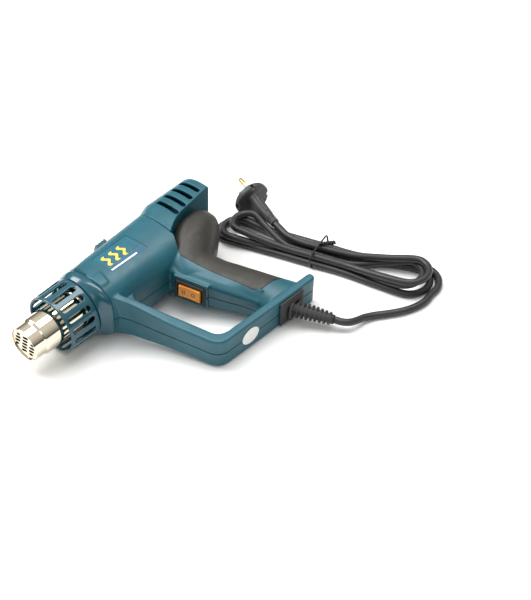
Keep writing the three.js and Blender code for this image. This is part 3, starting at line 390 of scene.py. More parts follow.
def slab(outline: Outline, low: float, high: float) -> Solid:
    """A flat outline in X and Y pulled through Z."""
    count = len(outline)
    points = [(x, y, low) for x, y in outline] + [(x, y, high) for x, y in outline]
    faces = [tuple(range(count)), tuple(range(count, 2 * count))]
    faces += [(i, (i + 1) % count, count + (i + 1) % count, count + i) for i in range(count)]
    return Solid.of(points, faces)


def block(x0: float, x1: float, y0: float, y1: float, z0: float, z1: float) -> Solid:
    """A plain block between two corners."""
    return slab([(x0, y0), (x1, y0), (x1, y1), (x0, y1)], z0, z1)


def turned(profile: Outline, sides: int = RING) -> Solid:
    """A piece turned on the gun's axis from a closed profile of X and radius."""
    count = len(profile)
    points = []
    for i in range(sides):
        turn = 2 * math.pi * i / sides
        points += [(x, r * math.cos(turn), r * math.sin(turn)) for x, r in profile]
    faces = []
    for i in range(sides):
        for k in range(count):
            a, b = i * count + k, i * count + (k + 1) % count
            c = ((i + 1) % sides) * count
            faces.append((a, b, c + (k + 1) % count, c + k))
    return Solid.of(points, faces)


def bar_x(x0: float, x1: float, radius: float, y: float = 0, z: float = 0, sides: int = 48) -> Solid:
    """A round bar along X."""
    return loft([[Vector((x, y + a, z + b)) for a, b in oval(radius, radius, 2, sides)] for x in (x0, x1)])


def bar_z(x: float, y: float, z0: float, z1: float, radius: float, sides: int = 40) -> Solid:
    """A round bar along Z."""
    return loft([[Vector((x + a, y + b, z)) for a, b in oval(radius, radius, 2, sides)] for z in (z0, z1)])


class Pen:
    """Draws a flat outline from straight and curved stretches."""

    def __init__(self, x: float, y: float) -> None:
        """Starts the outline at a point."""
        self.points: Outline = [(x, y)]

    def line(self, x: float, y: float) -> "Pen":
        """Goes straight to a point."""
        self.points.append((x, y))
        return self

    def curve(self, cx: float, cy: float, x: float, y: float, steps: int = 14) -> "Pen":
        """Bends to a point, drawn towards a control point."""
        x0, y0 = self.points[-1]
        for i in range(1, steps + 1):
            t = i / steps
            a, b, c = (1 - t) ** 2, 2 * t * (1 - t), t * t
            self.points.append((a * x0 + b * cx + c * x, a * y0 + b * cy + c * y))
        return self


def mix(a: float, b: float, t: float) -> float:
    """The value a share t of the way from a to b."""
    return a + (b - a) * t


def smooth_line(points: Sequence[Sequence[float]], step: float) -> np.ndarray:
    """A smooth line through points, with even steps.

    Args:
        points: The points that it passes through.
        step: Distance between the new points.

    Returns:
        The points along the line.
    """
    p = np.array(points, float)
    knots = np.concatenate([[0], np.cumsum(np.sqrt(np.linalg.norm(np.diff(p, axis=0), axis=1)))])
    ends = np.vstack([2 * p[0] - p[1], p, 2 * p[-1] - p[-2]])
    times = np.concatenate([[2 * knots[0] - knots[1]], knots, [2 * knots[-1] - knots[-2]]])
    fine = []
    for i in range(1, len(ends) - 2):
        t0, t1, t2, t3 = times[i - 1 : i + 3]
        t = np.linspace(t1, t2, 24, endpoint=False)[:, None]
        a1 = (t1 - t) / (t1 - t0) * ends[i - 1] + (t - t0) / (t1 - t0) * ends[i]
        a2 = (t2 - t) / (t2 - t1) * ends[i] + (t - t1) / (t2 - t1) * ends[i + 1]
        a3 = (t3 - t) / (t3 - t2) * ends[i + 1] + (t - t2) / (t3 - t2) * ends[i + 2]
        b1 = (t2 - t) / (t2 - t0) * a1 + (t - t0) / (t2 - t0) * a2
        b2 = (t3 - t) / (t3 - t1) * a2 + (t - t1) / (t3 - t1) * a3
        fine.append((t2 - t) / (t2 - t1) * b1 + (t - t1) / (t2 - t1) * b2)
    line = np.vstack([*fine, p[-1:]])
    along = np.concatenate([[0], np.cumsum(np.linalg.norm(np.diff(line, axis=0), axis=1))])
    at = np.linspace(0, along[-1], max(2, round(along[-1] / step)))
    return np.stack([np.interp(at, along, line[:, k]) for k in range(3)], axis=1)


# ---------------------------------------------------------------- where the gun lies


@dataclass(frozen=True)
class Resting:
    """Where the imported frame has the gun: its tilt about X and the place of its outlet's centre."""

    tilt: float
    origin: Vector

    @classmethod
    def from_frame(cls, fan_x: float) -> "Resting":
        """Reads the place from the joints.

        Args:
            fan_x: X of the fan's joint in gun millimetres.

        Returns:
            The gun's place.
        """
        joints = {j["name"]: j for j in frame["joints"]}
        axis = joints["rocker_tilt"]["axis"]
        fan = Vector(joints["fan_spin"]["pos_m"])
        return cls(math.atan2(axis[1], axis[2]), fan - Vector((fan_x * MM, 0, 0)))

    def gun(self) -> Matrix:
        """From gun millimetres to the row frame."""
        return Matrix.Translation(self.origin) @ Matrix.Rotation(-self.tilt, 4, "X") @ Matrix.Scale(MM, 4)

    def table(self) -> Matrix:
        """From table millimetres to the row frame."""
        foot = Vector((self.origin.x, self.origin.y, 0))
        return Matrix.Translation(foot) @ Matrix.Scale(MM, 4)


@dataclass
class Maker:
    """Turns solids into finished pieces on their bodies."""

    resting: Resting

    def piece(
        self,
        name: str,
        solid: Solid,
        finish: Finish,
        nodes: Sequence[str] = (),
        body: str = "gun",
        on_table: bool = False,
        sharp: float = 32,
    ) -> bpy.types.Object:
        """Places a solid, dresses it and lets it ride.

        Args:
            name: The piece's name.
            solid: Its shape in millimetres.
            finish: Its finish.
            nodes: The CAD nodes that it stands for.
            body: The body that it rides on.
            on_table: Whether its millimetres are the table's.
            sharp: Edges that bend by more than this many degrees stay crisp.

        Returns:
            The piece.
        """
        matrix = self.resting.table() if on_table else self.resting.gun()
        mesh = solid.mesh.copy()
        mesh.transform(matrix)
        mesh.name = name
        mesh.materials.clear()
        mesh.materials.append(finish.material())
        mesh.polygons.foreach_set("use_smooth", [True] * len(mesh.polygons))
        mesh.polygons.foreach_set("material_index", [0] * len(mesh.polygons))
        mesh.set_sharp_from_angle(angle=math.radians(sharp))
        made = bpy.data.objects.new(name, mesh)
        bpy.context.scene.collection.objects.link(made)
        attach(made, body)
        if nodes:
            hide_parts(*nodes)
        LOG.info("%s: %d faces on %s", name, len(mesh.polygons), body)
        return made


# ---------------------------------------------------------------- shapes that the gun's pieces share


@dataclass(frozen=True)
class Barrel:
    """The barrel's sections, shared by the housing, the collar, the cap and the label."""

    front: float = -78.2
    length: float = 94.5
    top: tuple[float, float] = (27.5, 33.5)
    bottom: tuple[float, float] = (37, 38.5)
    half: tuple[float, float] = (31.5, 32.5)
    power: float = 2.8
    wall: float = 2.5
    cap_length: float = 69
    flare: float = 5
    flare_length: float = 17

    @property
    def seam(self) -> float:
        """X of the cap's parting line."""
        return self.front - self.length

    @property
    def rear(self) -> float:
        """X of the cap's rear face."""
        return self.seam - self.cap_length

    def sizes(self, x: float) -> tuple[float, float, float]:
        """Height above the axis, depth below it, and half thickness at X."""
        t = min(1.0, max(0.0, (self.front - x) / self.length))
        return mix(*self.top, t), mix(*self.bottom, t), mix(*self.half, t)

    def cap_sizes(self, x: float) -> tuple[float, float, float]:
        """The same for the cap, which steps up over the barrel."""
        top, bottom, half = self.sizes(self.seam)
        t = min(1.0, (self.seam - x) / self.flare_length)
        lift = self.flare * t * t * (3 - 2 * t)
        return top + lift, bottom, half + 0.15 * lift

    def ring(self, x: float, sizes: tuple[float, float, float], grow: float) -> Ring:
        """One section at X."""
        top, bottom, half = sizes
        middle, reach = (bottom - top) / 2, (bottom + top) / 2 + grow
        return [Vector((x, y + middle, z)) for y, z in oval(reach, half + grow, self.power)]

    def body(self, grow: float, x0: float | None = None, x1: float | None = None) -> Solid:
        """The barrel's solid, grown by an amount, between two places."""
        start = self.front if x0 is None else x0
        end = self.seam if x1 is None else x1
        steps = [mix(start, end, i / 24) for i in range(25)]
        return loft([self.ring(x, self.sizes(x), grow) for x in steps])

    def cap(self, grow: float, x0: float, x1: float) -> Solid:
        """The cap's solid, grown by an amount, between two places."""
        steps = [mix(x0, x1, i / 36) for i in range(37)]
        return loft([self.ring(x, self.cap_sizes(x), grow) for x in steps])

    def cap_low(self, grow: float) -> Solid:
        """The region above the cap's lower edge, which curves from the side up to the rear."""
        pen = Pen(self.seam + 1, -60).line(self.seam + 1, 15.5 + grow)
        pen.curve(self.seam - 14, 4 + grow, self.seam - 32, 2.4 + grow)
        pen.line(self.rear - 10, -4.2 + grow).line(self.rear - 10, -60)
        return slab(pen.points, -60, 60)


@dataclass(frozen=True)
class Handle:
    """The D-shaped handle: leg, base and grip."""

    base_outer: float = 139
    base_thick: float = 8.6
    leg_thick: float = 11.4
    leg_front: float = 75.5
    leg_slope: float = 0.262
    heel: float = -235.5
    half: float = 16.1
    edge: float = 2.0
    grip_front: float = 129.4
    grip_slope: float = 0.383
    waist: float = 18.5
    rubber: float = 3.0
    switch_at: float = 61.0
    switch_slope: float = 0.3

    def base_line(self, x: float) -> float:
        """Y of the base's outer face at X."""
        return self.base_outer - 0.032 * (x + 150)

    def leg_line(self, y: float) -> float:
        """X of the leg's front face at Y."""
        return -self.leg_front - self.leg_slope * y

    def grip_line(self, y: float) -> float:
        """X of the grip's front face at Y."""
        return -self.grip_front - self.grip_slope * y

    def on_switch(self) -> Matrix:
        """From switch millimetres, X out of the grip and Y along it, to gun millimetres."""
        place = Matrix.Translation((self.grip_line(self.switch_at), self.switch_at, 0))
        return place @ Matrix.Rotation(math.atan(self.switch_slope), 4, "Z")

    def outline(self, grow: float) -> Outline:
        """Leg and base as one bent bar, from inside the barrel round to the heel."""
        corner = 13.0
        turn = self.leg_line(self.base_outer)
        top = self.base_line(turn) - self.base_thick
        heel, outer = self.heel, self.base_line(self.heel)
        rise = self.base_outer - self.base_thick - 10
        pen = Pen(self.leg_line(26) + grow, 26)
        pen.line(self.leg_line(self.base_outer - corner) + grow, self.base_outer - corner)
        pen.curve(turn + grow, self.base_line(turn) + grow, turn - corner, self.base_line(turn) + grow)
        pen.line(heel + 5, outer + grow)
        pen.curve(heel - grow, outer + grow, heel - grow, outer - 5, 8)
        pen.curve(heel - grow, outer - self.base_thick + 0.5, heel + 4, outer - self.base_thick - grow, 8)
        pen.line(turn - self.leg_thick - 11, top - grow)
        inner = self.leg_line(self.base_outer - self.base_thick) - self.leg_thick
        pen.curve(inner - grow, top - grow, self.leg_line(rise) - self.leg_thick - grow, rise)
        pen.line(self.leg_line(48) - self.leg_thick - grow, 48)
        shoulder = self.leg_line(40) - self.leg_thick
        pen.curve(shoulder - grow, 38, shoulder - 12, 33)
        pen.line(self.leg_line(26) - self.leg_thick - 12, 26)
        return pen.points

    def frame(self, grow: float = 0.0) -> Solid:
        """The bent bar with its long edges rounded."""
        solid = slab(self.outline(grow), -self.half - grow, self.half + grow)
        work = bmesh.new()
        work.from_mesh(solid.mesh)
        bmesh.ops.dissolve_limit(work, angle_limit=0.01, verts=work.verts, edges=work.edges)
        rims = [e for e in work.edges if abs(e.verts[0].co.z - e.verts[1].co.z) < 1e-4]
        bmesh.ops.bevel(work, geom=rims, offset=self.edge, segments=3, profile=0.5, affect="EDGES")
        work.to_mesh(solid.mesh)
        work.free()
        return solid

    def flare(self) -> Solid:
        """The leg's upper end, which widens into the barrel."""
        rows = np.array([
            (6, 32.2, 12, 18, -78.4), (12, 32.2, 11, 18, -78.4), (16, 32.0, 10, 18, -78.4),
            (19, 31.2, 9.5, 17, -78.5), (22, 29.2, 9, 16, -78.7), (26, 26.2, 8.5, 15, -79.2),
            (32, 23.6, 8, 14, -80.6), (36, 22.6, 7.6, 13.5, -82.4), (40, 21.9, 7.4, 13, -84.6),
            (46, 21.2, 7.4, 13, -87.3), (52, 20.6, 7.6, 13, -89.1), (67, 18.7, 8.8, 13, -93.0),
            (82, 17.0, 9.8, 13, -96.9), (100, self.half + 0.1, 10.4, 13, -101.7),
        ])
        rings = []
        for y in np.linspace(rows[0, 0], rows[-1, 0], 64):
            half, depth, rear, front = (float(np.interp(y, rows[:, 0], rows[:, k])) for k in (1, 2, 3, 4))
            front += 0.1
            back = self.leg_line(y) - self.leg_thick + 0.4
            near = [(front, half - 1.4), (front - 0.4, half - 0.4), (front - 1.4, half),
                    (front - depth, half), (back, rear)]
            far = [(x, -z) for x, z in reversed(near)]
            rings.append([Vector((x, y, z)) for x, z in near + far])
        return loft(rings)

    def sections(self) -> list[tuple[float, float, float, float]]:
        """Sections from the bulb behind the barrel to the base: Y, middle X, half depth, half width."""

        def middle(y: float) -> float:
            """X of the grip's middle at Y."""
            return self.grip_line(y) - 22

        low = self.base_outer - 4
        return [
            (2.6, -208, 13, 14), (4, -206.5, 20, 20.5), (8, -204.5, 26, 25.5), (14, -201, 30.5, 28),
            (21, -197, 33.5, 29), (28, -190.5, 34.5, 28.5), (35, -183, 33.5, 26.5),
            (42, -177.5, 30, self.waist + 5.5),
            (50, middle(50) - 1, 24.5, self.waist + 2.5), (60, middle(60), 22.5, self.waist + 0.8),
            (80, middle(80), 22, self.waist), (100, middle(100), 22, self.waist),
            (114, middle(114), 22.2, self.waist - 0.5),
            (124, middle(124), 23.2, self.waist - 1.5), (low, middle(low), 25, self.half - 1),
        ]

    def grip(self, shrink: float) -> Solid:
        """The grip and its bulb as one smooth body, shrunk by an amount."""
        rows = np.array(self.sections())
        slopes = np.gradient(rows, rows[:, 0], axis=0)
        slopes[0] = (rows[1] - rows[0]) / (rows[1, 0] - rows[0, 0])
        rings = []
        for i in range(len(rows) - 1):
            span = rows[i + 1, 0] - rows[i, 0]
            for k in range(6 if i < len(rows) - 2 else 7):
                t = k / 6
                a, b = 2 * t**3 - 3 * t**2 + 1, t**3 - 2 * t**2 + t
                c, d = 3 * t**2 - 2 * t**3, t**3 - t**2
                here = a * rows[i] + b * span * slopes[i] + c * rows[i + 1] + d * span * slopes[i + 1]
                y, x, depth, width = here
                rings.append([Vector((x + dx, y, z)) for dx, z in oval(depth - shrink, width - shrink, 2.4)])
        return loft(rings[9:] if shrink > self.rubber else rings)

    def cover_region(self, inset: float) -> Solid:
        """The region of the soft cover, set in by an amount."""
        low = self.base_outer - 21.5 - inset

        def edge(y: float) -> float:
            """X of the cover's front edge at Y."""
            return self.grip_line(y) - 18.6 - inset + 0.12 * (y - 38)

        pen = Pen(edge(38), 38).line(edge(low - 9), low - 9)
        pen.curve(edge(low), low, edge(low) - 8, low).curve(edge(low) - 22, low, -214, low + 3)
        pen.line(-290, low + 5).line(-290, -20).line(-205 - inset, -20)
        pen.curve(-186 - inset, 6, -176 - inset, 13).curve(edge(38) - 5.5, 24, edge(38), 38)
        return slab(pen.points, -60, 60)


def half_of(solid: Solid, side: int, gap: float = 0.15) -> Solid:
    """The half of a solid on one side of the parting plane."""
    low, high = (gap, 100.0) if side > 0 else (-100.0, -gap)
    return (solid & block(-400, 100, -100, 300, low, high)).main_part()


# ---------------------------------------------------------------- casing


@dataclass(frozen=True)
class Casing:
    """Housing halves, rear cap, top cover, label and sticker."""

    barrel: Barrel
    handle: Handle
    cell: float = 0.8
    groove: float = 0.55
    cover_length: float = 39
    cover_half: tuple[float, float] = (28.6, 22.4)
    slots: int = 4
    slot_width: float = 4.8
    slot_pitch: float = 11.8
    slot_rear: float = 12.5
    latch_length: float = 13
    latch_travel: float = 4
    bezel: tuple[float, float] = (32, 24)
    flange_x: float = -201.5
    boot_lean: float = 0.385
    cord: float = 3.5

    @property
    def latch_x(self) -> float:
        """X of the latch's front edge."""
        return self.barrel.front - self.cover_length - 1.2

    def screw_places(self) -> list[tuple[float, float]]:
        """X and Y of the housing screws."""
        handle = self.handle
        return [(handle.leg_line(126) - 7.5, 129), (handle.heel + 9, 137.2), (-166, 135.2),
                (self.barrel.front - 18, 31.2), (-148, 33)]

    def cover_block(self, inset: float) -> Solid:
        """The region of the top cover: it narrows towards the rear and flares where it meets the collar."""
        front, back = self.barrel.front, self.barrel.front - self.cover_length + inset
        wide, narrow = (half - inset for half in self.cover_half)
        pen = Pen(10, wide + 5).line(front - 0.8, wide + 5)
        pen.curve(front - 1.2, wide + 1.2, front - 6, wide - 0.6)
        pen.line(back + 3, narrow).curve(back, narrow, back, narrow - 3)
        far = [(x, -z) for x, z in reversed(pen.points)]
        return slab(pen.points + far, 0, 60).moved(Matrix.Rotation(math.pi / 2, 4, "X"))

    def latch_slot(self) -> Solid:
        """The slot that the latch's stem slides in."""
        rear = self.latch_x - self.latch_length + 1 - self.latch_travel
        return block(rear, self.latch_x - 3, -60, -15, -4, 4)

    def boss(self, grow: float) -> Solid:
        """The raised lip round the switch, on a fairing that leads into the grip."""
        reach, half = self.bezel[0] / 2 + 2 + grow, self.bezel[1] / 2 + 2.4 + grow
        lip = block(-9, 2.2 + grow, -reach, reach, -half, half)
        rings = []
        for y in np.linspace(-36, 66, 35):
            t = min(1.0, max(0.0, (36 + y) / 18, 0.0), max(0.0, (66 - y) / 48))
            ease = t * t * (3 - 2 * t)
            x, wide = mix(-5, -0.8, ease) + grow, mix(11.2, 14.3, ease) + grow
            near = [(x, wide - 3.4), (x - 0.4, wide - 1.6), (x - 1.7, wide), (x - 6, wide + 2.3),
                    (-16, self.handle.waist - 0.2)]
            far = [(u, -z) for u, z in reversed(near)]
            rings.append([Vector((u, y, z)) for u, z in near + far])
        return (lip + loft(rings)).moved(self.handle.on_switch()) - self.handle.cover_region(0)

    def outer(self) -> Solid:
        """The housing's outside as one softened moulding."""
        handle = self.handle
        joined = union([self.barrel.body(0), handle.grip(0), handle.frame(), handle.flare(), self.boss(0)])
        return joined.softened(self.cell, 4)

    def inner(self) -> Solid:
        """The hollow inside the housing."""
        barrel, handle = self.barrel, self.handle
        bore = barrel.body(-barrel.wall, barrel.front + 5, barrel.seam - 5)
        bore = bore - handle.cover_region(-barrel.wall)
        grip = handle.grip(handle.rubber + 0.3 + barrel.wall)
        grip = grip - block(-300, 0, handle.base_outer - 12, 200, -60, 60)
        half = handle.half - barrel.wall
        leg = [(handle.leg_line(44) - barrel.wall, 44), (handle.leg_line(118) - barrel.wall, 118),
               (handle.leg_line(118) - handle.leg_thick + barrel.wall, 118),
               (handle.leg_line(44) - handle.leg_thick + barrel.wall, 44)]
        return union([bore, grip, slab(leg, -half, half)])

    def label_region(self, inset: float) -> Solid:
        """The label's slanted outline, pulled out through the near side."""
        x0, x1, lean, low, high = -96.5, -143, -6.5, -12.5, 13.5
        outline = [(x0 - inset, low + inset), (x0 + lean / 4 - inset, high - inset),
                   (x1 + inset, high + 1 - inset), (x1 - lean / 2 + inset, low + inset)]
        return slab(outline, 0, 60)

    def parting_groove(self) -> Solid:
        """A shallow groove round the housing where its halves meet."""
        depth = -0.9
        core = union([self.barrel.body(depth, self.barrel.front + 1, self.barrel.seam - 1),
                      self.handle.grip(-depth), self.handle.frame(depth), self.boss(depth)])
        return block(-300, 0, -80, 200, -self.groove, self.groove) - core

    def shell(self) -> Solid:
        """The whole housing before it is split."""
        barrel, handle = self.barrel, self.handle
        region = handle.cover_region(0)
        body = self.outer() - region - self.parting_groove()
        body = body + (handle.grip(handle.rubber + 0.3) & handle.cover_region(-0.01))
        body = body - self.inner()
        for x, y in self.screw_places():
            body = body + bar_z(x, y, -handle.half + 1, handle.half - 1, 3.8, 24)
        length, width = self.bezel[0] / 2 + 0.3, self.bezel[1] / 2 + 0.3
        well = block(-30, 20, -length, length, -width, width).moved(handle.on_switch())
        exit_place = Matrix.Translation((self.flange_x, handle.base_line(self.flange_x), 0))
        exit_place = exit_place @ Matrix.Rotation(self.boot_lean, 4, "Z")
        channel = block(-4.5, 4.5, -30, 30, -4.5, 4.5).moved(exit_place)
        cap_room = barrel.cap(SEAM, barrel.seam + 0.1, barrel.rear - 5) & barrel.cap_low(SEAM)
        for cut in (well, self.cover_block(0), channel, cap_room, self.latch_slot(),
                    self.label_region(0) - barrel.body(-1.2)):
            body = body - cut
        for x, y in self.screw_places():
            head = bar_z(x, y, -45, -handle.half + 4.5, 3.1, 32) + bar_z(x, y, -45, 10.2, 1.8, 24)
            body = body - head
        return body

    def cap(self) -> Solid:
        """The rear cap with its curved air slots."""
        barrel = self.barrel
        x0, x1, edge = barrel.seam - 0.1, barrel.rear, 4.0
        stations = [mix(x0, x1 + edge, i / 36) for i in range(37)]
        rings = [barrel.ring(x, barrel.cap_sizes(x), 0) for x in stations]
        for i in range(1, 7):
            turn = math.pi / 2 * i / 6
            x = x1 + edge * (1 - math.sin(turn))
            rings.append(barrel.ring(x, barrel.cap_sizes(x), -edge * (1 - math.cos(turn))))
        hollow = barrel.cap(-barrel.wall, x0 + 5, x1 + barrel.wall) & barrel.cap_low(-barrel.wall)
        body = (loft(rings) & barrel.cap_low(0)) - (hollow - block(-300, 0, -60, 60, -0.9, 0.9))
        for i in range(self.slots):
            x = x1 + self.slot_rear + i * self.slot_pitch
            half, end = self.slot_width / 2, -6.0 + i * 2.4
            for side in (-1, 1):
                low, high = (6, 60) if side > 0 else (-60, -6)
                body = body - block(x - half, x + half, -29 + i * 1.6, end, low, high)
                body = body - bar_z(x, end, low, high, half, 32)
        return body.main_part().softened(0.55, 3)

    def cover(self) -> Solid:
        """The top cover of the barrel's front."""
        barrel = self.barrel
        skin = barrel.body(0) - barrel.body(-barrel.wall + 0.3, barrel.front + 5, barrel.seam - 5)
        skin = skin & self.cover_block(0.7)
        return (skin - self.latch_slot()).main_part()

    def skin(self, low: float, high: float, outline: Solid) -> Solid:
        """A patch of the barrel's surface between two depths."""
        barrel = self.barrel
        under = barrel.body(low, barrel.front + 5, barrel.seam - 5)
        return ((barrel.body(high) - under) & outline).main_part()

    def dress_label(self, maker: Maker) -> None:
        """Lays the label with its two stripes and three plain heat waves."""
        plate = self.skin(-0.9, -0.2, self.label_region(0.3))
        maker.piece("label_panel", plate, LABEL_TEAL, ["label_plate"])
        band = slab([(-98, 9.4), (-142, 10), (-142.4, 13.9), (-98.6, 12.9)], 0, 60)
        maker.piece("label_band", self.skin(-0.25, -0.1, band), BLUE)
        stripe = slab([(-99.4, 10.9), (-131, 11.3), (-131, 13.1), (-99.6, 12.6)], 0, 60)
        maker.piece("label_stripe", self.skin(-0.15, -0.02, stripe), WHITE)
        for number in range(3):
            x0 = -105 - 9.5 * number
            left = [(x0 + 1.7 * math.sin(i * 0.42) - 1.7, -6.5 + i * 0.62) for i in range(23)]
            right = [(x + 3.6, y) for x, y in reversed(left)]
            wave = slab(left + right, 0, 60)
            maker.piece(f"heat_wave_{number + 1}", self.skin(-0.25, -0.05, wave), GOLD)

    def sticker(self) -> Solid:
        """The blank oval sticker on the base."""
        x = -149.5
        stack = [(0.0, 1.0), (0.3, 1.0), (0.4, 0.985)]
        rim = oval(1, 1, 2, 96)
        disc = loft([[Vector((10.4 * s * a, y, 9.2 * s * b)) for a, b in rim] for y, s in stack])
        lean = Matrix.Translation((x, self.handle.base_line(x) + 0.05, 0.8)) @ Matrix.Rotation(-0.032, 4, "Z")
        return disc.moved(lean)

    def build(self, maker: Maker) -> None:
        """Makes the casing's pieces."""
        shell = self.shell()
        maker.piece("housing_near", half_of(shell, 1), TEAL, ["housing_left"])
        maker.piece("housing_far", half_of(shell, -1), TEAL, ["housing_right"])
        maker.piece("intake_cap", self.cap(), TEAL, ["rear_cap"], sharp=50)
        maker.piece("barrel_cover", self.cover(), TEAL_GLOSS, ["top_cover"])
        maker.piece("oval_sticker", self.sticker(), WHITE, ["base_sticker"])
        self.dress_label(maker)


@dataclass(frozen=True)
class SoftGrip:
    """The two soft covers of the grip and its bulb."""

    barrel: Barrel
    handle: Handle

    def build(self, maker: Maker) -> None:
        """Makes the covers."""
        barrel, handle = self.barrel, self.handle
        skin = (handle.grip(0) - handle.grip(handle.rubber)) & handle.cover_region(SEAM)
        skin = skin - (barrel.body(0.3) - handle.cover_region(0))
        skin = skin - (barrel.cap(0.3, barrel.seam - 0.3, barrel.rear - 5) & barrel.cap_low(2 * SEAM))
        sides = ((1, "grip_skin_near", "grip_cover_left"), (-1, "grip_skin_far", "grip_cover_right"))
        for side, name, node in sides:
            half = half_of(skin, side, 0.1)
            maker.piece(name, half, RUBBER, [node], sharp=40)


# ---------------------------------------------------------------- outlet end


@dataclass(frozen=True)
class Nose:
    """Outlet tube, grille, heat guard, collar and latch."""

    barrel: Barrel
    casing: Casing
    seat: float = 12
    radius: float = 17
    swell: float = 1.6
    wall: float = 1.0
    tube_length: float = 91
    guard_front: float = 32.7
    guard_length: float = 33.5
    guard_radius: float = 29.2
    guard_taper: float = 0.9
    guard_wall: float = 2.2
    guard_slots: int = 16
    slot_width: float = 5.8
    latch_half: float = 19
    latch_height: float = 4.2

    def tube(self) -> Solid:
        """The stepped outlet tube with rolled edges."""
        r, wide, w, s, end = self.radius, self.radius + self.swell, self.wall, -self.seat, -self.tube_length
        outer = [(-0.02, r - 0.75), (-0.12, r - 0.3), (-0.45, r - 0.06), (-0.9, r), (s + 0.8, r),
                 (s + 0.1, r + 0.12)]
        outer += [(s - 0.5, r + 0.5), (s - 1.3, wide - 0.5), (s - 2, wide - 0.12), (s - 2.8, wide)]
        rear = [(end + 1.2, wide), (end + 1.2, wide + 5), (end, wide + 5), (end, wide - w)]
        return turned(outer + rear + [(s - 2.4, wide - w), (s, r - w), (-0.3, r - w)], 144)

    def grille(self) -> Solid:
        """The plate in the outlet with its slanted slots."""
        reach = self.radius - self.wall - 0.15
        disc = bar_x(-3, -1.4, reach, sides=96)
        for row in (-1, 0, 1):
            for i in range(-3, 4):
                y, z = row * 9.4 + 0.9 * i, i * 4.6 + row * 1.1
                if math.hypot(y, z) > reach - 2.6:
                    continue
                length = 7.8 if math.hypot(y, z) < reach - 5 else 5.4
                disc = disc - self._slot(length, 2.9).moved(
                    Matrix.Translation((0, y, z)) @ Matrix.Rotation(0.35, 4, "X"))
        return disc

    def _slot(self, length: float, width: float) -> Solid:
        """A slot with round ends along Y, cut through the plate along X."""
        half, run = width / 2, length / 2 - width / 2
        points = []
        for side in (1, -1):
            for i in range(9):
                turn = math.pi * i / 8
                points.append((side * (run + half * math.sin(turn)), side * half * math.cos(turn)))
        flat = slab(points, -6, 2)
        return flat.moved(Matrix(((0, 0, 1, 0), (1, 0, 0, 0), (0, 1, 0, 0), (0, 0, 0, 1))))

    def guard(self) -> Solid:
        """The slotted heat guard."""
        x0, x1 = -self.guard_front, -self.guard_front - self.guard_length
        r0, r1, w = self.guard_radius, self.guard_radius + self.guard_taper, self.guard_wall
        guard = turned([(x0 - 0.1, r0 - 0.9), (x0 - 0.3, r0 - 0.4), (x0 - 0.9, r0), (x1 + 0.4, r1),
                        (x1 + 0.2, r1 - w),
                        (x0 - 0.9, r0 - w), (x0 - 0.3, r0 - w + 0.3)], 192)
        length, half = self.guard_length - 7.4, self.slot_width / 2
        middle, run = x0 - 3.4 - length / 2, length / 2 - half
        stadium = []
        for side in (1, -1):
            for i in range(13):
                turn = math.pi * i / 12 - math.pi / 2
                stadium.append((side * (run + half * math.cos(turn)), side * half * math.sin(turn)))
        cutter = slab(stadium, 12, 45).moved(Matrix.Translation((middle, 0, 0)))
        for i in range(self.guard_slots):
            guard = guard - cutter.moved(Matrix.Rotation(-2 * math.pi * (i + 0.2) / self.guard_slots, 4, "X"))
        return guard.softened(0.42, 3)

    def collar(self) -> Solid:
        """The collar that swells from the round guard to the barrel."""
        barrel = self.barrel
        x0, x1 = -(self.guard_front + self.guard_length) - 0.45, barrel.front + 0.3
        r0 = self.guard_radius + self.guard_taper
        rear = barrel.ring(x1, barrel.sizes(x1), -0.4)
        circle = oval(1, 1, 2)
        rings = [[Vector((x0, y * (r0 - 0.9), z * (r0 - 0.9))) for y, z in circle]]
        for i in range(17):
            t = i / 16
            bulge = 1.0 * math.sin(math.pi * t)
            ease = 0.5 - 0.5 * math.cos(math.pi * t)
            rings.append([Vector((mix(x0 - 0.5, x1, t), mix(y * (r0 + bulge), p.y + bulge * y, ease),
                                  mix(z * (r0 + bulge), p.z + bulge * z, ease)))
                          for (y, z), p in zip(circle, rear)])
        cone = loft(rings)
        spigot = barrel.body(-barrel.wall - 0.3, x1 + 1, barrel.front - 11)
        return (cone + spigot) - bar_x(x0 + 5, barrel.front - 16, self.radius + self.swell + 5.4, sides=96)

    def latch(self) -> Solid:
        """The ribbed slider over the barrel's crest."""
        casing, barrel = self.casing, self.barrel
        x0, x1 = casing.latch_x - casing.latch_length, casing.latch_x
        pad = barrel.body(self.latch_height) - barrel.body(0.6, barrel.front + 5, barrel.seam - 5)
        body = (pad & block(x0, x1, -60, -8, -self.latch_half, self.latch_half)).main_part()
        floor = barrel.body(self.latch_height - 1.1, barrel.front + 5, barrel.seam - 5)
        for i in range(3):
            x = x1 - 3.2 - i * 3.3
            body = body - (block(x - 1.4, x, -60, 0, -60, 60) - floor)
        middle = x1 - casing.latch_length / 2
        root = -barrel.sizes(middle)[0]
        stem = block(middle - 3, middle + 1, root - 2, root + barrel.wall + 1.5, -2.5, 2.5)
        return (body + stem).softened(0.4, 3)

    def build(self, maker: Maker) -> None:
        """Makes the outlet's pieces."""
        maker.piece("outlet_barrel", self.tube(), CHROME, ["outlet_tube"], sharp=40)
        maker.piece("outlet_plate", self.grille(), CHROME, ["outlet_grille"])
        maker.piece("slotted_guard", self.guard(), TEAL_GLOSS, ["heat_guard"], sharp=60)
        maker.piece("guard_ring", self.collar(), TEAL_GLOSS, ["guard_collar"])
        maker.piece("guard_slider", self.latch(), TEAL_GLOSS, ["guard_latch"],
                    body="latch", sharp=60)


# ---------------------------------------------------------------- switch and strain relief


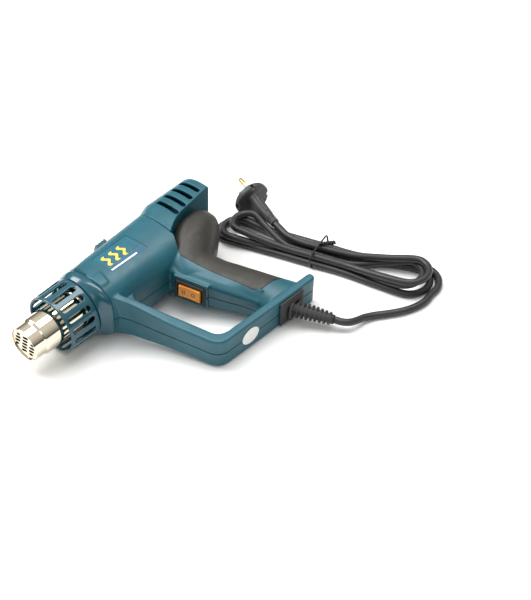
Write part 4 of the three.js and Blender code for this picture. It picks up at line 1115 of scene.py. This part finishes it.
@dataclass(frozen=True)
class Switch:
    """The two-stage rocker switch in its black bezel."""

    handle: Handle
    bezel_length: float = 32
    bezel_width: float = 24
    length: float = 22
    width: float = 13.4
    pivot: float = -3.2

    def bezel(self) -> Solid:
        """The bezel with a rounded lip."""
        l, w = self.bezel_length / 2, self.bezel_width / 2
        plate = block(-3, 2.4, -l, l, -w, w) + block(-3, 3.6, -l + 1.6, l - 1.6, -w + 1.6, w - 1.6)
        reach, half = self.length / 2 + 2, self.width / 2 + 0.3
        mouth = block(-9, 9, -reach, reach, -half, half)
        return (plate - mouth).softened(0.35, 2)

    def profile(self, grow: float = 0.0) -> Outline:
        """Side profile of the rocker: a shallow V on top and a round belly about its pivot."""
        half = self.length / 2
        pen = Pen(5.6 + grow, -half).curve(4.2 + grow, 0, 5.6 + grow, half, 16).line(1, half)
        start, sweep = 1.15, 2 * math.pi - 2.3
        for i in range(25):
            turn = start + sweep * i / 24
            pen.line(self.pivot + 6.4 * math.cos(turn), 6.4 * math.sin(turn))
        pen.line(1, -half)
        return pen.points

    def marks(self) -> list[tuple[str, Solid]]:
        """Two bars at the high-heat end and a ring at the off end, printed on the face."""
        film = slab(self.profile(0.12), -self.width / 2, self.width / 2) - slab(self.profile(0.02), -9, 9)
        face = film & block(3, 9, -20, 20, -20, 20)
        ring = bar_x(0, 9, 2.3, 0.6 + 3.4, 0) - bar_x(-1, 10, 1.5, 0.6 + 3.4, 0)
        bars = [("stage_bar_1", block(0, 9, -7.2, -6.4, -2.4, 2.4)),
                ("stage_bar_2", block(0, 9, -5.2, -4.4, -2.4, 2.4))]
        return [(name, face & shape) for name, shape in [*bars, ("off_ring", ring)]]

    def build(self, maker: Maker) -> None:
        """Makes the switch's pieces."""
        place = self.handle.on_switch()
        maker.piece("switch_frame", self.bezel().moved(place), BLACK,
                    ["switch_bezel"], sharp=60)
        key = slab(self.profile(), -self.width / 2, self.width / 2).softened(0.35, 3)
        maker.piece("rocker_key", key.moved(place), ORANGE, ["switch_rocker"],
                    body="rocker", sharp=60)
        for name, solid in self.marks():
            maker.piece(name, solid.moved(place), MARK, body="rocker")


@dataclass(frozen=True)
class StrainRelief:
    """The stepped flange and the ribbed boot that the lead leaves through."""

    casing: Casing
    length: float = 38
    root: float = 8.6
    tip: float = 6.2
    ribs: int = 8
    bar_turn: float = 0.66  # the smooth bars are turned by this much about the boot
    flange_length: float = 30
    flange_width: float = 28
    flange_thick: float = 4
    flange_turn: float = -1.8  # degrees that the base's face leans at the flange

    def flange(self) -> Solid:
        """The two-step plate round the boot's root."""
        l, w = self.flange_length / 2, self.flange_width / 2
        plate = block(-l, l, 0.3, 2.2, -w, w) + block(-l + 2, l - 2, 0.3, 3.2, -w + 2, w - 2)
        plate = plate + block(-l + 4.2, l - 4.2, 0.3, self.flange_thick, -w + 4.2, w - 4.2)
        hole = loft([[Vector((4 * a, y, 4 * b)) for a, b in oval(1, 1, 2, 48)] for y in (-20, 20)])
        return plate.softened(0.4, 2).moved(self.across()) - hole.moved(self.along())

    def across(self) -> Matrix:
        """From flange millimetres, Y out of the base, to gun millimetres."""
        x = self.casing.flange_x
        root = Matrix.Translation((x, self.casing.handle.base_line(x), 0))
        return root @ Matrix.Rotation(math.radians(self.flange_turn), 4, "Z")

    def along(self) -> Matrix:
        """From boot millimetres, Y along the boot, to gun millimetres."""
        x = self.casing.flange_x
        root = Matrix.Translation((x, self.casing.handle.base_line(x), 0))
        return root @ Matrix.Rotation(self.casing.boot_lean, 4, "Z")

    def boot(self) -> Solid:
        """The tapered boot: a core, two smooth bars and the ribs between them."""
        start = self.flange_thick + 1.2
        end = start + self.length

        def rod(stations: Sequence[tuple[float, float, float]], power: float) -> Solid:
            """A rod through sections of Y, half X and half Z."""
            return loft([[Vector((a, y, b)) for a, b in oval(x, z, power, 64)] for y, x, z in stations])

        core = [(start - 3, 6.4, 6.4), (start + 2, 5.6, 5.6), (end - 3, 4.6, 4.6), (end, 4.3, 4.3)]
        bars = [(start - 2, 3.6, 9.0), (start + 1, 3.4, 8.5), (end - 4, 2.8, 6.2), (end - 1.5, 2.6, 5.7)]
        parts = [rod(core, 2), rod(bars, 4)]
        for i in range(self.ribs):
            t = i / (self.ribs - 1)
            y, r = start + 2.4 + t * (self.length - 8), mix(self.root, self.tip, t)
            rib = [(y, r - 0.2, r - 0.2), (y + 0.3, r, r), (y + 1.5, r, r), (y + 1.8, r - 0.2, r - 0.2)]
            parts.append(rod(rib, 2.2))
        ribbed = union(parts).moved(Matrix.Rotation(self.bar_turn, 4, "Y"))
        foot = rod([(start - 3, 11.2, 10.4), (start - 1.2, 11.2, 10.4), (start - 0.6, 10.6, 9.8)], 3)
        bore = rod([(start - 9, 3.75, 3.75), (end + 5, 3.75, 3.75)], 2)
        floor = block(-60, 60, -40, self.flange_thick + 0.3, -40, 40)
        return (ribbed + foot - bore).softened(0.4, 2).moved(self.along()) - floor.moved(self.across())

    def build(self, maker: Maker) -> None:
        """Makes the flange and the boot."""
        maker.piece("relief_flange", self.flange(), BLACK,
                    ["strain_relief_flange"], sharp=50)
        maker.piece("relief_boot", self.boot(), BLACK, ["strain_relief_boot"], sharp=60)


@dataclass(frozen=True)
class Insides:
    """The pieces inside the casing, which keep their shapes and get their finishes."""

    def build(self) -> None:
        """Dresses every CAD node that is still shown."""
        by_slot = {
            "housing": TEAL, "guard": TEAL_GLOSS, "outlet": CHROME, "grip_rubber": RUBBER,
            "black_plastic": BLACK,
            "rocker": ORANGE, "label": WHITE, "sticker": WHITE, "cord_rubber": CORD, "mica": MICA,
            "heater_wire": WIRE, "steel": STEEL, "circuit_board": BOARD, "brass": BRASS,
        }
        slots = {part["node"]: part["material_slot"] for part in frame["record"]["subparts"]}
        for name, node in frame["nodes"].items():
            if node.hide_render:
                continue
            finish = by_slot.get(slots.get(name, ""), STEEL)
            node.data.materials.clear()
            node.data.materials.append(finish.material())
            LOG.info("%s: CAD node in %s", name, finish.name)


# ---------------------------------------------------------------- studio


@dataclass(frozen=True)
class Studio:
    """A pale table in soft light, and the camera."""

    eye: tuple[float, float, float] = (577.0, 781.9, 1080.7)  # in gun millimetres
    right: tuple[float, float, float] = (-0.67583, 0.73650, 0.02870)
    down: tuple[float, float, float] = (0.52385, 0.50737, -0.68422)
    lens: float = 96.1
    floor_size: float = 9.0
    horizon: float = 0.08
    zenith: float = 0.85

    def camera(self, resting: Resting) -> None:
        """Sets up the camera, which looks down on the gun from past its nozzle."""
        turn = Matrix.Rotation(-resting.tilt, 3, "X")
        right, up = turn @ Vector(self.right), turn @ -Vector(self.down)
        back = right.cross(up)
        data = bpy.data.cameras.new("camera")
        data.lens, data.sensor_width, data.sensor_fit = self.lens, 36, "AUTO"
        data.clip_start, data.clip_end = 0.05, 30
        made = bpy.data.objects.new("camera", data)
        axes = Matrix((right, up, back)).transposed()
        made.matrix_world = Matrix.Translation(resting.gun() @ Vector(self.eye)) @ axes.to_4x4()
        bpy.context.scene.collection.objects.link(made)
        bpy.context.scene.camera = made

    def floor(self) -> None:
        """Lays the pale table."""
        half = self.floor_size / 2
        sheet = bpy.data.meshes.new("floor")
        corners = [(-half, -half, 0), (half, -half, 0), (half, half, 0), (-half, half, 0)]
        sheet.from_pydata(corners, [], [(0, 1, 2, 3)])
        made = bpy.data.objects.new("floor", sheet)
        paper = bpy.data.materials.new("floor_paper")
        paper.use_nodes = True
        shader = paper.node_tree.nodes["Principled BSDF"]
        shader.inputs["Base Color"].default_value = (0.93, 0.93, 0.925, 1)
        shader.inputs["Roughness"].default_value = 0.9
        shader.inputs["Specular IOR Level"].default_value = 0.1
        sheet.materials.append(paper)
        bpy.context.scene.collection.objects.link(made)

    def lamp(self, name: str, place: tuple[float, float, float], size: float, power: float) -> None:
        """Hangs one soft square lamp that faces the gun."""
        data = bpy.data.lights.new(name, "AREA")
        data.size, data.energy = size, power
        made = bpy.data.objects.new(name, data)
        made.location = place
        made.rotation_mode = "QUATERNION"
        made.rotation_quaternion = (-Vector(place)).to_track_quat("-Z", "Y")
        bpy.context.scene.collection.objects.link(made)

    def light(self) -> None:
        """Lights the table from above, with a main lamp behind and to the left and a darker horizon."""
        world = bpy.data.worlds.new("studio")
        bpy.context.scene.world = world
        world.use_nodes = True
        tree = world.node_tree
        tree.nodes["Background"].inputs["Color"].default_value = (1.0, 0.99, 0.965, 1)
        place = tree.nodes.new("ShaderNodeTexCoord")
        parts = tree.nodes.new("ShaderNodeSeparateXYZ")
        spread = tree.nodes.new("ShaderNodeMapRange")
        spread.inputs["From Min"].default_value = 0.05
        spread.inputs["From Max"].default_value = 0.75
        spread.inputs["To Min"].default_value = self.horizon
        spread.inputs["To Max"].default_value = self.zenith
        tree.links.new(place.outputs["Generated"], parts.inputs["Vector"])
        tree.links.new(parts.outputs["Z"], spread.inputs["Value"])
        tree.links.new(spread.outputs["Result"], tree.nodes["Background"].inputs["Strength"])
        self.lamp("main", (0.3, -1.3, 1.5), 1.0, 30)
        self.lamp("side", (1.6, 0.9, 1.1), 0.6, 2)
        self.lamp("top", (-0.5, -0.1, 2.0), 1.2, 26)
        bpy.context.scene.view_settings.view_transform = "Standard"


# ---------------------------------------------------------------- lead, tie and plug


@dataclass(frozen=True)
class Turn:
    """One turn of the hank: its far strand, its end loop, its near strand, and the loop back.

    Attributes:
        far: Place of the far strand across the hank at the tie.
        near: Place of the near strand across the hank at the tie.
        heights: Heights of the far strand, the left loop, the near strand and the right loop.
        left: Centre along and across, and radius, of the loop behind the grip.
        right: The same of the loop past the handle base.
    """

    far: float
    near: float
    heights: tuple[float, float, float, float]
    left: tuple[float, float, float]
    right: tuple[float, float, float]


@dataclass(frozen=True)
class Lead:
    """The mains lead: free from the boot, then folded to and fro into a hank, and up into the plug."""

    diameter: float = 7.0
    route: tuple[tuple[float, float, float], ...] = (
        (-218, 179.8, 10.7), (-220.4, 185.6, 9.9), (-225.4, 190.6, 8.6), (-233, 192.9, 6.8),
        (-242, 194.6, 5), (-251, 199.4, 3.9), (-261, 207.5, 3.6), (-272, 215.5, 3.6),
        (-283.5, 221.0, 3.6), (-295, 223.2, 3.6),
    )
    tail: tuple[tuple[float, float, float], ...] = (
        (-280.5, 63.4, 11.2), (-280.9, 60.3, 11.6), (-281.4, 57.5, 12), (-282, 55.1, 12.3),
        (-283.26, 49.77, 12.97), (-284.36, 45.24, 13.58),
    )
    left_end: tuple[float, float] = (-260, 12)
    right_end: tuple[float, float] = (-311, 203)
    turns: tuple[Turn, ...] = (
        Turn(-14.2, 14.2, (3.6, 3.6, 3.6, 3.6), (-1, 0, 14.8), (-9, 0, 18.6)),
        Turn(-7.1, 7.1, (3.6, 10.8, 3.6, 10.8), (5, 2.5, 14.2), (-15, -1, 17.5)),
        Turn(0, 10.6, (3.6, 17.9, 10.2, 17.9), (14, -2, 13.8), (-8, 1, 17.5)),
    )
    last: tuple[float, float] = (-3.5, 10.4)
    pinch: tuple[float, ...] = (0.3, 0.47, 0.64)

    def at(self, along: float, across: float, height: float) -> tuple[float, float, float]:
        """A place in the hank: millimetres from the left end, towards the near side, and up."""
        (x0, y0), (x1, y1) = self.left_end, self.right_end
        ux, uy = (x1 - x0) / self.run(), (y1 - y0) / self.run()
        return (x0 + ux * along + uy * across, y0 + uy * along - ux * across, height)

    def run(self) -> float:
        """Distance between the centres of the hank's two ends."""
        return math.dist(self.left_end, self.right_end)

    def loop(self, centre: tuple[float, float, float], left: bool,
             height: float) -> list[tuple[float, float, float]]:
        """Half a turn round one end of the hank.

        Args:
            centre: Centre along and across, and radius.
            left: Whether it is the left end.
            height: Height of the middle of the cord.

        Returns:
            Points from the far side to the near side on the left, and back on the right.
        """
        along, across, radius = centre
        points = []
        for i in range(9):
            turn = math.pi * i / 8
            reach = radius * math.sin(turn)
            side = radius * math.cos(turn)
            if left:
                points.append(self.at(along - reach, across - side, height))
            else:
                points.append(self.at(self.run() + along + reach, across + side, height))
        return points

    def strand(self, across: float, heights: tuple[float, float, float], to_left: bool,
               sides: tuple[float, float]) -> list[tuple[float, float, float]]:
        """A stretch from one end of the hank to the other, pinched in at the tie.

        Args:
            across: Place across the hank at the tie.
            heights: Heights on leaving a loop, at the tie, and on meeting the next loop.
            to_left: Whether it runs from the right end to the left.
            sides: Places across the hank near the first and the second loop.

        Returns:
            Points along the strand.
        """
        shares = [0.16, *self.pinch, 0.8]
        if to_left:
            shares.reverse()
        places = [mix(across, sides[0], 0.6), across, across, across, mix(across, sides[1], 0.6)]
        levels = [mix(heights[1], heights[0], 0.5), *[heights[1]] * 3, mix(heights[1], heights[2], 0.5)]
        return [self.at(s * self.run(), w, h) for s, w, h in zip(shares, places, levels)]

    def points(self) -> list[tuple[float, float, float]]:
        """Every point that the lead passes through, from the boot to the plug."""
        points = list(self.route)
        first = self.turns[0].right
        enter = (first[0] + 4, first[1], first[2] + 5)
        points += self.loop(enter, False, 3.6)[3:]
        before = (enter[1] - enter[2], 3.6)
        for i, turn in enumerate(self.turns):
            far_h, left_h, near_h, right_h = turn.heights
            centre = turn.left
            span = (before[0], centre[1] - centre[2])
            points += self.strand(turn.far, (before[1], far_h, left_h), True, span)
            points += self.loop(centre, True, left_h)
            right = turn.right
            sides = (centre[1] + centre[2], right[1] + right[2])
            points += self.strand(turn.near, (left_h, near_h, right_h), False, sides)
            points += self.loop(right, False, right_h)
            before = (right[1] - right[2], right_h)
        across, height = self.last
        for share, blend in ((0.8, 0.5), (0.64, 0.1), (0.47, 0), (0.36, 0)):
            place = mix(across, before[0], blend)
            points.append(self.at(share * self.run(), place, mix(height, before[1], blend)))
        return points + list(self.tail)

    def build(self, maker: Maker) -> tuple[bpy.types.Object, float]:
        """Makes the lead as one smooth curve.

        Args:
            maker: Places the piece.

        Returns:
            The lead and its length in metres.
        """
        matrix = maker.resting.table()
        line = smooth_line(self.points(), 2.6)
        line[:, 2] = np.maximum(line[:, 2], self.diameter / 2 + 0.05)
        curve = bpy.data.curves.new("mains_lead", "CURVE")
        curve.dimensions = "3D"
        curve.bevel_depth = self.diameter / 2 * MM
        curve.bevel_resolution = 6
        curve.use_fill_caps = True
        spline = curve.splines.new("POLY")
        spline.points.add(len(line) - 1)
        for point, place in zip(spline.points, line):
            point.co = (*(matrix @ Vector(place)), 1)
        curve.materials.append(CORD.material())
        made = bpy.data.objects.new("mains_lead", curve)
        bpy.context.scene.collection.objects.link(made)
        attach(made, "gun")
        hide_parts("cord_lead", "cord_hank", "cord_tail")
        length = float(np.linalg.norm(np.diff(line, axis=0), axis=1).sum()) * MM
        LOG.info("mains_lead: %.3f m", length)
        return made, length


@dataclass(frozen=True)
class Tie:
    """The wire tie round the hank, with its two ends twisted together."""

    share: float = 0.47
    half_width: float = 19.6
    top: float = 15.0
    wire: float = 0.9
    height_low: float = 0.95

    def build(self, maker: Maker, lead: Lead) -> bpy.types.Object:
        """Bends the wire round the strands and twists its ends."""
        along = self.share * lead.run()
        corner = 5.0
        loop = []
        for side_a, side_b, start in ((1, 1, 0.0), (-1, 1, 0.5), (-1, -1, 1.0), (1, -1, 1.5)):
            level = corner + self.height_low if side_b < 0 else self.top - corner
            centre = (side_a * (self.half_width - corner), level)
            for i in range(5):
                turn = math.pi * (start + 0.5 * i / 4)
                across, up = corner * math.cos(turn), corner * math.sin(turn)
                loop.append(lead.at(along, centre[0] + across, centre[1] + up))
        loop.append(loop[0])
        first = self._tube(smooth_line(loop, 1.2), 10)
        ends = []
        for phase in (0.0, math.pi):
            twist = []
            for i in range(30):
                turn = phase + i * 0.7
                reach = 0.9 + 0.03 * i
                twist.append(lead.at(along + 1 + i * 0.42, -3 - i * 0.22 + reach * math.cos(turn),
                                     self.top + 1.0 + reach * math.sin(turn)))
            ends.append(self._tube(smooth_line(twist, 0.6), 8))
        mesh = union([first, *ends])
        return maker.piece("tie_wire", mesh, TIE, ["cord_tie"], on_table=True, sharp=60)

    def _tube(self, line: np.ndarray, sides: int) -> Solid:
        """A round wire along a line."""
        rings = []
        for i, place in enumerate(line):
            ahead = Vector(line[min(i + 1, len(line) - 1)] - line[max(i - 1, 0)]).normalized()
            side = ahead.cross(Vector((0.31, 0.22, 0.92))).normalized()
            up = side.cross(ahead)
            rings.append([Vector(place) + side * a + up * b for a, b in oval(self.wire, self.wire, 2, sides)])
        return loft(rings)


@dataclass(frozen=True)
class PlugTop:
    """The round mains plug, lying on its rim, with its neck, its bend sleeve and its two pins."""

    face: tuple[float, float] = (-295, 1.6)
    turn: float = -1.81
    tilt: float = 0.13
    radius: float = 18.5
    rim: float = 7
    neck: float = 26
    sleeve: float = 12
    cord: float = 3.5
    pin_radius: float = 2.4
    pin_spread: float = 9.5
    pin_length: float = 19
    pin_sleeve: float = 10

    def matrix(self) -> Matrix:
        """From plug millimetres, X along the pins, to table millimetres."""
        height = self.radius * math.cos(self.tilt) + self.rim * math.sin(self.tilt) + 0.2
        place = Matrix.Translation((*self.face, height))
        return place @ Matrix.Rotation(self.turn, 4, "Z") @ Matrix.Rotation(-self.tilt, 4, "Y")

    def body(self) -> Solid:
        """The moulded body with its ridged neck and slotted sleeve."""
        edge = [(-0.1, 0), (-0.1, self.radius - 1.2), (-1.2, self.radius), (-self.rim + 2, self.radius),
                (-self.rim + 0.6, self.radius - 1), (-self.rim, self.radius - 3.4), (-self.rim - 0.8, 0)]
        rounds = [(x, max(r, 0.05)) for x, r in edge]
        disc = loft([[Vector((x, a, b)) for a, b in oval(r, r, 2, 96)] for x, r in rounds])
        for edge_y in (-self.radius, self.radius):
            disc = disc - block(-self.rim - 3, -2.2, edge_y - 2.6, edge_y + 2.6, -3, 3)
        notch = block(-self.rim - 2, -1.5, -1.4, 1.4, self.radius - 3.5, self.radius + 1)
        disc = disc - notch
        end = -self.rim - self.neck
        stations = ((-self.rim + 1, 7.6, 11, 3.2), (-self.rim - 5, 6.6, 9.2, 3.2),
                    (-self.rim - 13, 6, 7.4, 3),
                    (end + 4, 5.4, 6, 2.6), (end, 5.2, 5.6, 2.2))
        neck = loft([[Vector((x, a, b)) for a, b in oval(y, z, power, 64)] for x, y, z, power in stations])
        swollen = loft([[Vector((x, a, b)) for a, b in oval(y + 1, z + 1, power, 64)]
                        for x, y, z, power in stations])
        ridge = block(end + 3, -self.rim, -1.3, 1.3, -11, 11) & swollen
        tip = end - self.sleeve
        sleeve = loft([[Vector((x, a, b)) for a, b in oval(r, r, 2, 48)]
                       for x, r in ((end + 1, 5.2), (tip + 1, self.cord + 1.3), (tip, self.cord + 0.7))])
        whole = union([disc, neck, ridge, sleeve])
        for i in range(3):
            x = end - 2.8 - i * 3.3
            gap = block(x - 1.4, x, -9, 9, 1.2, 9) + block(x - 1.4, x, -9, 9, -9, -1.2)
            other = block(x - 3, x - 1.7, 1.2, 9, -9, 9) + block(x - 3, x - 1.7, -9, -1.2, -9, 9)
            whole = whole - (gap - bar_x(x - 5, x + 3, self.cord + 0.6))
            if i < 2:
                whole = whole - (other - bar_x(x - 5, x + 3, self.cord + 0.6))
        return whole.softened(0.5, 3)

    def pin(self, side: int) -> tuple[Solid, Solid]:
        """One pin's insulated root and its bare metal end."""
        z = side * self.pin_spread
        root = loft([[Vector((x, a, z + b)) for a, b in oval(r, r, 2, 32)]
                     for x, r in ((0.15, self.pin_radius), (self.pin_sleeve, self.pin_radius))])
        tip = self.pin_length
        bare = loft([[Vector((x, a, z + b)) for a, b in oval(r, r, 2, 32)] for x, r in (
            (self.pin_sleeve + 0.1, self.pin_radius - 0.05), (tip - 1.6, self.pin_radius - 0.05),
            (tip - 0.5, self.pin_radius * 0.75), (tip, self.pin_radius * 0.35))])
        return root, bare

    def build(self, maker: Maker) -> list[bpy.types.Object]:
        """Makes the plug and its pins."""
        place = self.matrix()
        pieces = [maker.piece("plug_moulding", self.body().moved(place), PLUG, ["plug_body"],
                              on_table=True, sharp=50)]
        for number, side in ((1, -1), (2, 1)):
            root, bare = self.pin(side)
            sleeve = maker.piece(f"pin_sleeve_{number}", root.moved(place), CREAM, on_table=True)
            pieces.append(sleeve)
            pieces.append(maker.piece(f"pin_tip_{number}", bare.moved(place), BRASS,
                                      [f"plug_pin_{number}"], on_table=True))
        return pieces


def main() -> None:
    """Builds the heat gun and its lead."""
    logging.basicConfig(level=logging.INFO, format="%(message)s")
    resting = Resting.from_frame(fan_x=-118)
    studio = Studio()
    studio.camera(resting)
    studio.floor()
    studio.light()
    maker = Maker(resting)
    barrel, handle = Barrel(), Handle()
    casing = Casing(barrel, handle)
    casing.build(maker)
    SoftGrip(barrel, handle).build(maker)
    Nose(barrel, casing).build(maker)
    Switch(handle).build(maker)
    StrainRelief(casing).build(maker)
    lead = Lead()
    cord, length = lead.build(maker)
    tie = Tie().build(maker, lead)
    plug = PlugTop().build(maker)
    exit_point = resting.table() @ Vector(lead.route[0])
    Insides().build()


if __name__ == "__main__":
    main()
